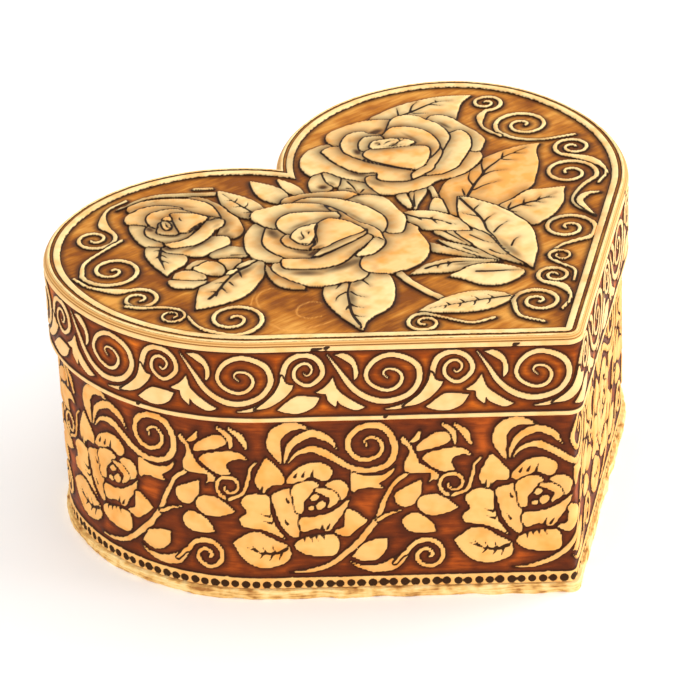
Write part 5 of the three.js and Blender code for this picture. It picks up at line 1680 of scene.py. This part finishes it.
@dataclass
class BasePlate:
    """The bark board under the body, with a ragged cut edge."""

    heart: HeartLine
    sizes: BoxSizes
    finish: RawBark
    columns: int = 900
    levels: int = 6

    def build(self) -> bpy.types.Object:
        """Makes the plate from a filled circle, extruded up level by level and pulled to the heart's outline.

        Returns:
            The finished piece.
        """
        s = self.sizes
        bpy.ops.object.select_all(action="DESELECT")
        bpy.ops.mesh.primitive_circle_add(vertices=self.columns, radius=0.06, fill_type="NGON")
        piece = bpy.context.object
        piece.name = piece.data.name = "bark_base"
        bpy.ops.object.mode_set(mode="EDIT")
        bpy.ops.mesh.select_mode(type="FACE")
        bpy.ops.mesh.select_all(action="SELECT")
        for _ in range(self.levels):
            bpy.ops.mesh.extrude_region_move(TRANSFORM_OT_translate={"value": (0, 0, s.base_top * MM / self.levels)})
        bpy.ops.mesh.select_all(action="SELECT")
        bpy.ops.mesh.normals_make_consistent(inside=False)
        bpy.ops.object.mode_set(mode="OBJECT")
        co = np.zeros(len(piece.data.vertices) * 3)
        piece.data.vertices.foreach_get("co", co)
        co = co.reshape(-1, 3)
        turn = np.arctan2(co[:, 0], -co[:, 1])
        station = turn / math.pi * self.heart.half(s.base_edge)
        level = co[:, 2] / MM
        ragged = value_noise(station, level * 3, 5.0, 41) * 0.35 + value_noise(station, level * 4, 1.3, 42) * 0.16
        ends = np.where((level < 0.1) | (level > s.base_top - 0.1), -0.22, 0.0)
        x, y = self.heart.place(station, s.base_edge, s.base_edge - 0.25 + ragged + ends)
        lift = np.where(level > s.base_top - 0.5, value_noise(station, level, 7.0, 43) * 0.12, 0.0)
        piece.data.vertices.foreach_set("co", (np.column_stack([x, y, level + lift]) * MM).ravel())
        piece.data.update()
        piece.data.shade_smooth()
        piece.data.set_sharp_from_angle(angle=math.radians(45))
        piece.data.materials.append(self.finish.material())
        return piece


@dataclass
class Studio:
    """A plain pale floor, soft light and the camera."""

    target: tuple[float, float, float] = (-5.829, 12.153, 35.0)
    azimuth: float = math.radians(-37.756)
    elevation: float = math.radians(30.266)
    roll: float = math.radians(-2.319)
    distance: float = 910.01
    focal_pixels: float = 3748.3
    image_pixels: float = 700.0
    sensor: float = 36.0
    floor_size: float = 12.0
    glow: float = 1.0

    lamps: ClassVar[tuple] = (
        ("window_on_the_right", (0.95, -0.55, 0.32), (0.03, 0.0, 0.04), 1.2, 17.0),
        ("soft_front", (-0.9, -1.0, 0.6), (0.0, 0.0, 0.04), 0.6, 5.0))

    def floor(self) -> bpy.types.Object:
        """Makes the floor.

        Returns:
            The floor.
        """
        bpy.ops.object.select_all(action="DESELECT")
        bpy.ops.mesh.primitive_plane_add(size=self.floor_size, location=(0, 0, 0))
        floor = bpy.context.object
        floor.name = "floor"
        skin = Skin("white_paper")
        skin.finish(linear("#FDFCFA"), 0.9, (0.0, 0.0, 0.0), 0.0)
        floor.data.materials.append(skin.material)
        return floor

    def light(self, name: str, place: Point, aim: Point, size: float, power: float) -> None:
        """Adds a soft square light.

        Args:
            name: its name.
            place: where it is, in metres.
            aim: what it faces, in metres.
            size: its side, in metres.
            power: its power in watts.
        """
        lamp = bpy.data.lights.new(name, "AREA")
        lamp.shape = "SQUARE"
        lamp.size = size
        lamp.energy = power
        holder = bpy.data.objects.new(name, lamp)
        bpy.context.scene.collection.objects.link(holder)
        holder.location = place
        holder.rotation_euler = (Vector(aim) - Vector(place)).to_track_quat("-Z", "Y").to_euler()

    def lights(self) -> None:
        """Sets the pale surroundings and the lamps."""
        world = bpy.data.worlds.new("white_tent")
        world.use_nodes = True
        background = world.node_tree.nodes["Background"]
        background.inputs["Color"].default_value = linear("#FFFFFF")
        background.inputs["Strength"].default_value = self.glow
        bpy.context.scene.world = world
        for lamp in self.lamps:
            self.light(*lamp)

    def camera(self) -> bpy.types.Object:
        """Makes the camera at the photograph's viewing angle.

        Returns:
            The camera.
        """
        sin_a, cos_a = math.sin(self.azimuth), math.cos(self.azimuth)
        sin_e, cos_e = math.sin(self.elevation), math.cos(self.elevation)
        back = Vector((sin_a * cos_e, -cos_a * cos_e, sin_e))
        right = Vector((cos_a, sin_a, 0.0))
        up = (-back).cross(right) * -1.0
        across = right * math.cos(self.roll) + up * math.sin(self.roll)
        upward = up * math.cos(self.roll) - right * math.sin(self.roll)
        data = bpy.data.cameras.new("camera")
        data.sensor_width = self.sensor
        data.lens = self.focal_pixels / self.image_pixels * self.sensor
        data.clip_start = 0.05
        data.clip_end = 50.0
        camera = bpy.data.objects.new("camera", data)
        bpy.context.scene.collection.objects.link(camera)
        turn = Matrix((across, upward, back)).transposed().to_4x4()
        camera.matrix_world = Matrix.Translation((Vector(self.target) + back * self.distance) * MM) @ turn
        bpy.context.scene.camera = camera
        return camera


def centred_heart(sizes: BoxSizes) -> HeartLine:
    """The heart line, placed so that the lid's outline is centred on Y = 0.

    Args:
        sizes: the box's sizes.

    Returns:
        The heart line.
    """
    heart = HeartLine()
    station = np.linspace(0.0, heart.half(sizes.rim_face), 800)
    _, y = heart.place(station, sizes.rim_face, np.full(800, sizes.rim_face))
    return HeartLine(shift=-float(y.min() + y.max()) / 2)


def main() -> None:
    """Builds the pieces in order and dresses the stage."""
    logging.basicConfig(level=logging.INFO, format="%(name)s: %(message)s")
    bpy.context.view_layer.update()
    sizes = BoxSizes()
    heart = centred_heart(sizes)
    # Colours in turn: ground stains, halo, raised, golden, painted shade and burnt edge.
    lid = CarvedBark("birch bark, carved and stained lid", Lay.FLAT, ("#84460F", "#B76F22", "#DC9A45"),
                     "#4E2A14", "#FADB9C", "#EFA650", "#4C3018", "#1E0C03", halo_width=1.9)
    rim = CarvedBark("birch bark, red-brown rim", Lay.WRAPPED, ("#70300C", "#A0480F", "#DE7420"),
                     "#562812", "#F8CE90", "#EFB066", "#A08060", "#260E06", halo_width=2.0, outline=0.6)
    wall = CarvedBark("birch bark, red-brown wall", Lay.WRAPPED, ("#582612", "#7C3614", "#B8561C"),
                      "#4C2413", "#F6C278", "#EC9F4A", "#8E6444", "#260E06", halo_width=2.3, outline=0.6)
    board = RawBark("birch bark board, undyed", Lay.FLAT, "#F6D694", "#E6B56A", "#A8703A")
    work = (
        (LidTop(heart, sizes, lid), "lid_top", "carved_lid_bark"),
        (LidRim(heart, sizes, rim), "lid_rim", "stained_bark"),
        (BodyWall(heart, sizes, wall), "body_wall", "stained_bark"),
        (BasePlate(heart, sizes, board), "base_plate", "pale_bark"),
    )
    for maker, node, slot in work:
        piece = maker.build()
        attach(piece, "root")
        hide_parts(node)
        triangles = sum(len(p.vertices) - 2 for p in piece.data.polygons)
        log.info("%s: %d triangles, stands for %s", piece.name, triangles, node)
    studio = Studio()
    studio.floor()
    studio.lights()
    studio.camera()
    bpy.context.scene.view_settings.view_transform = "Standard"


if __name__ == "__main__":
    main()
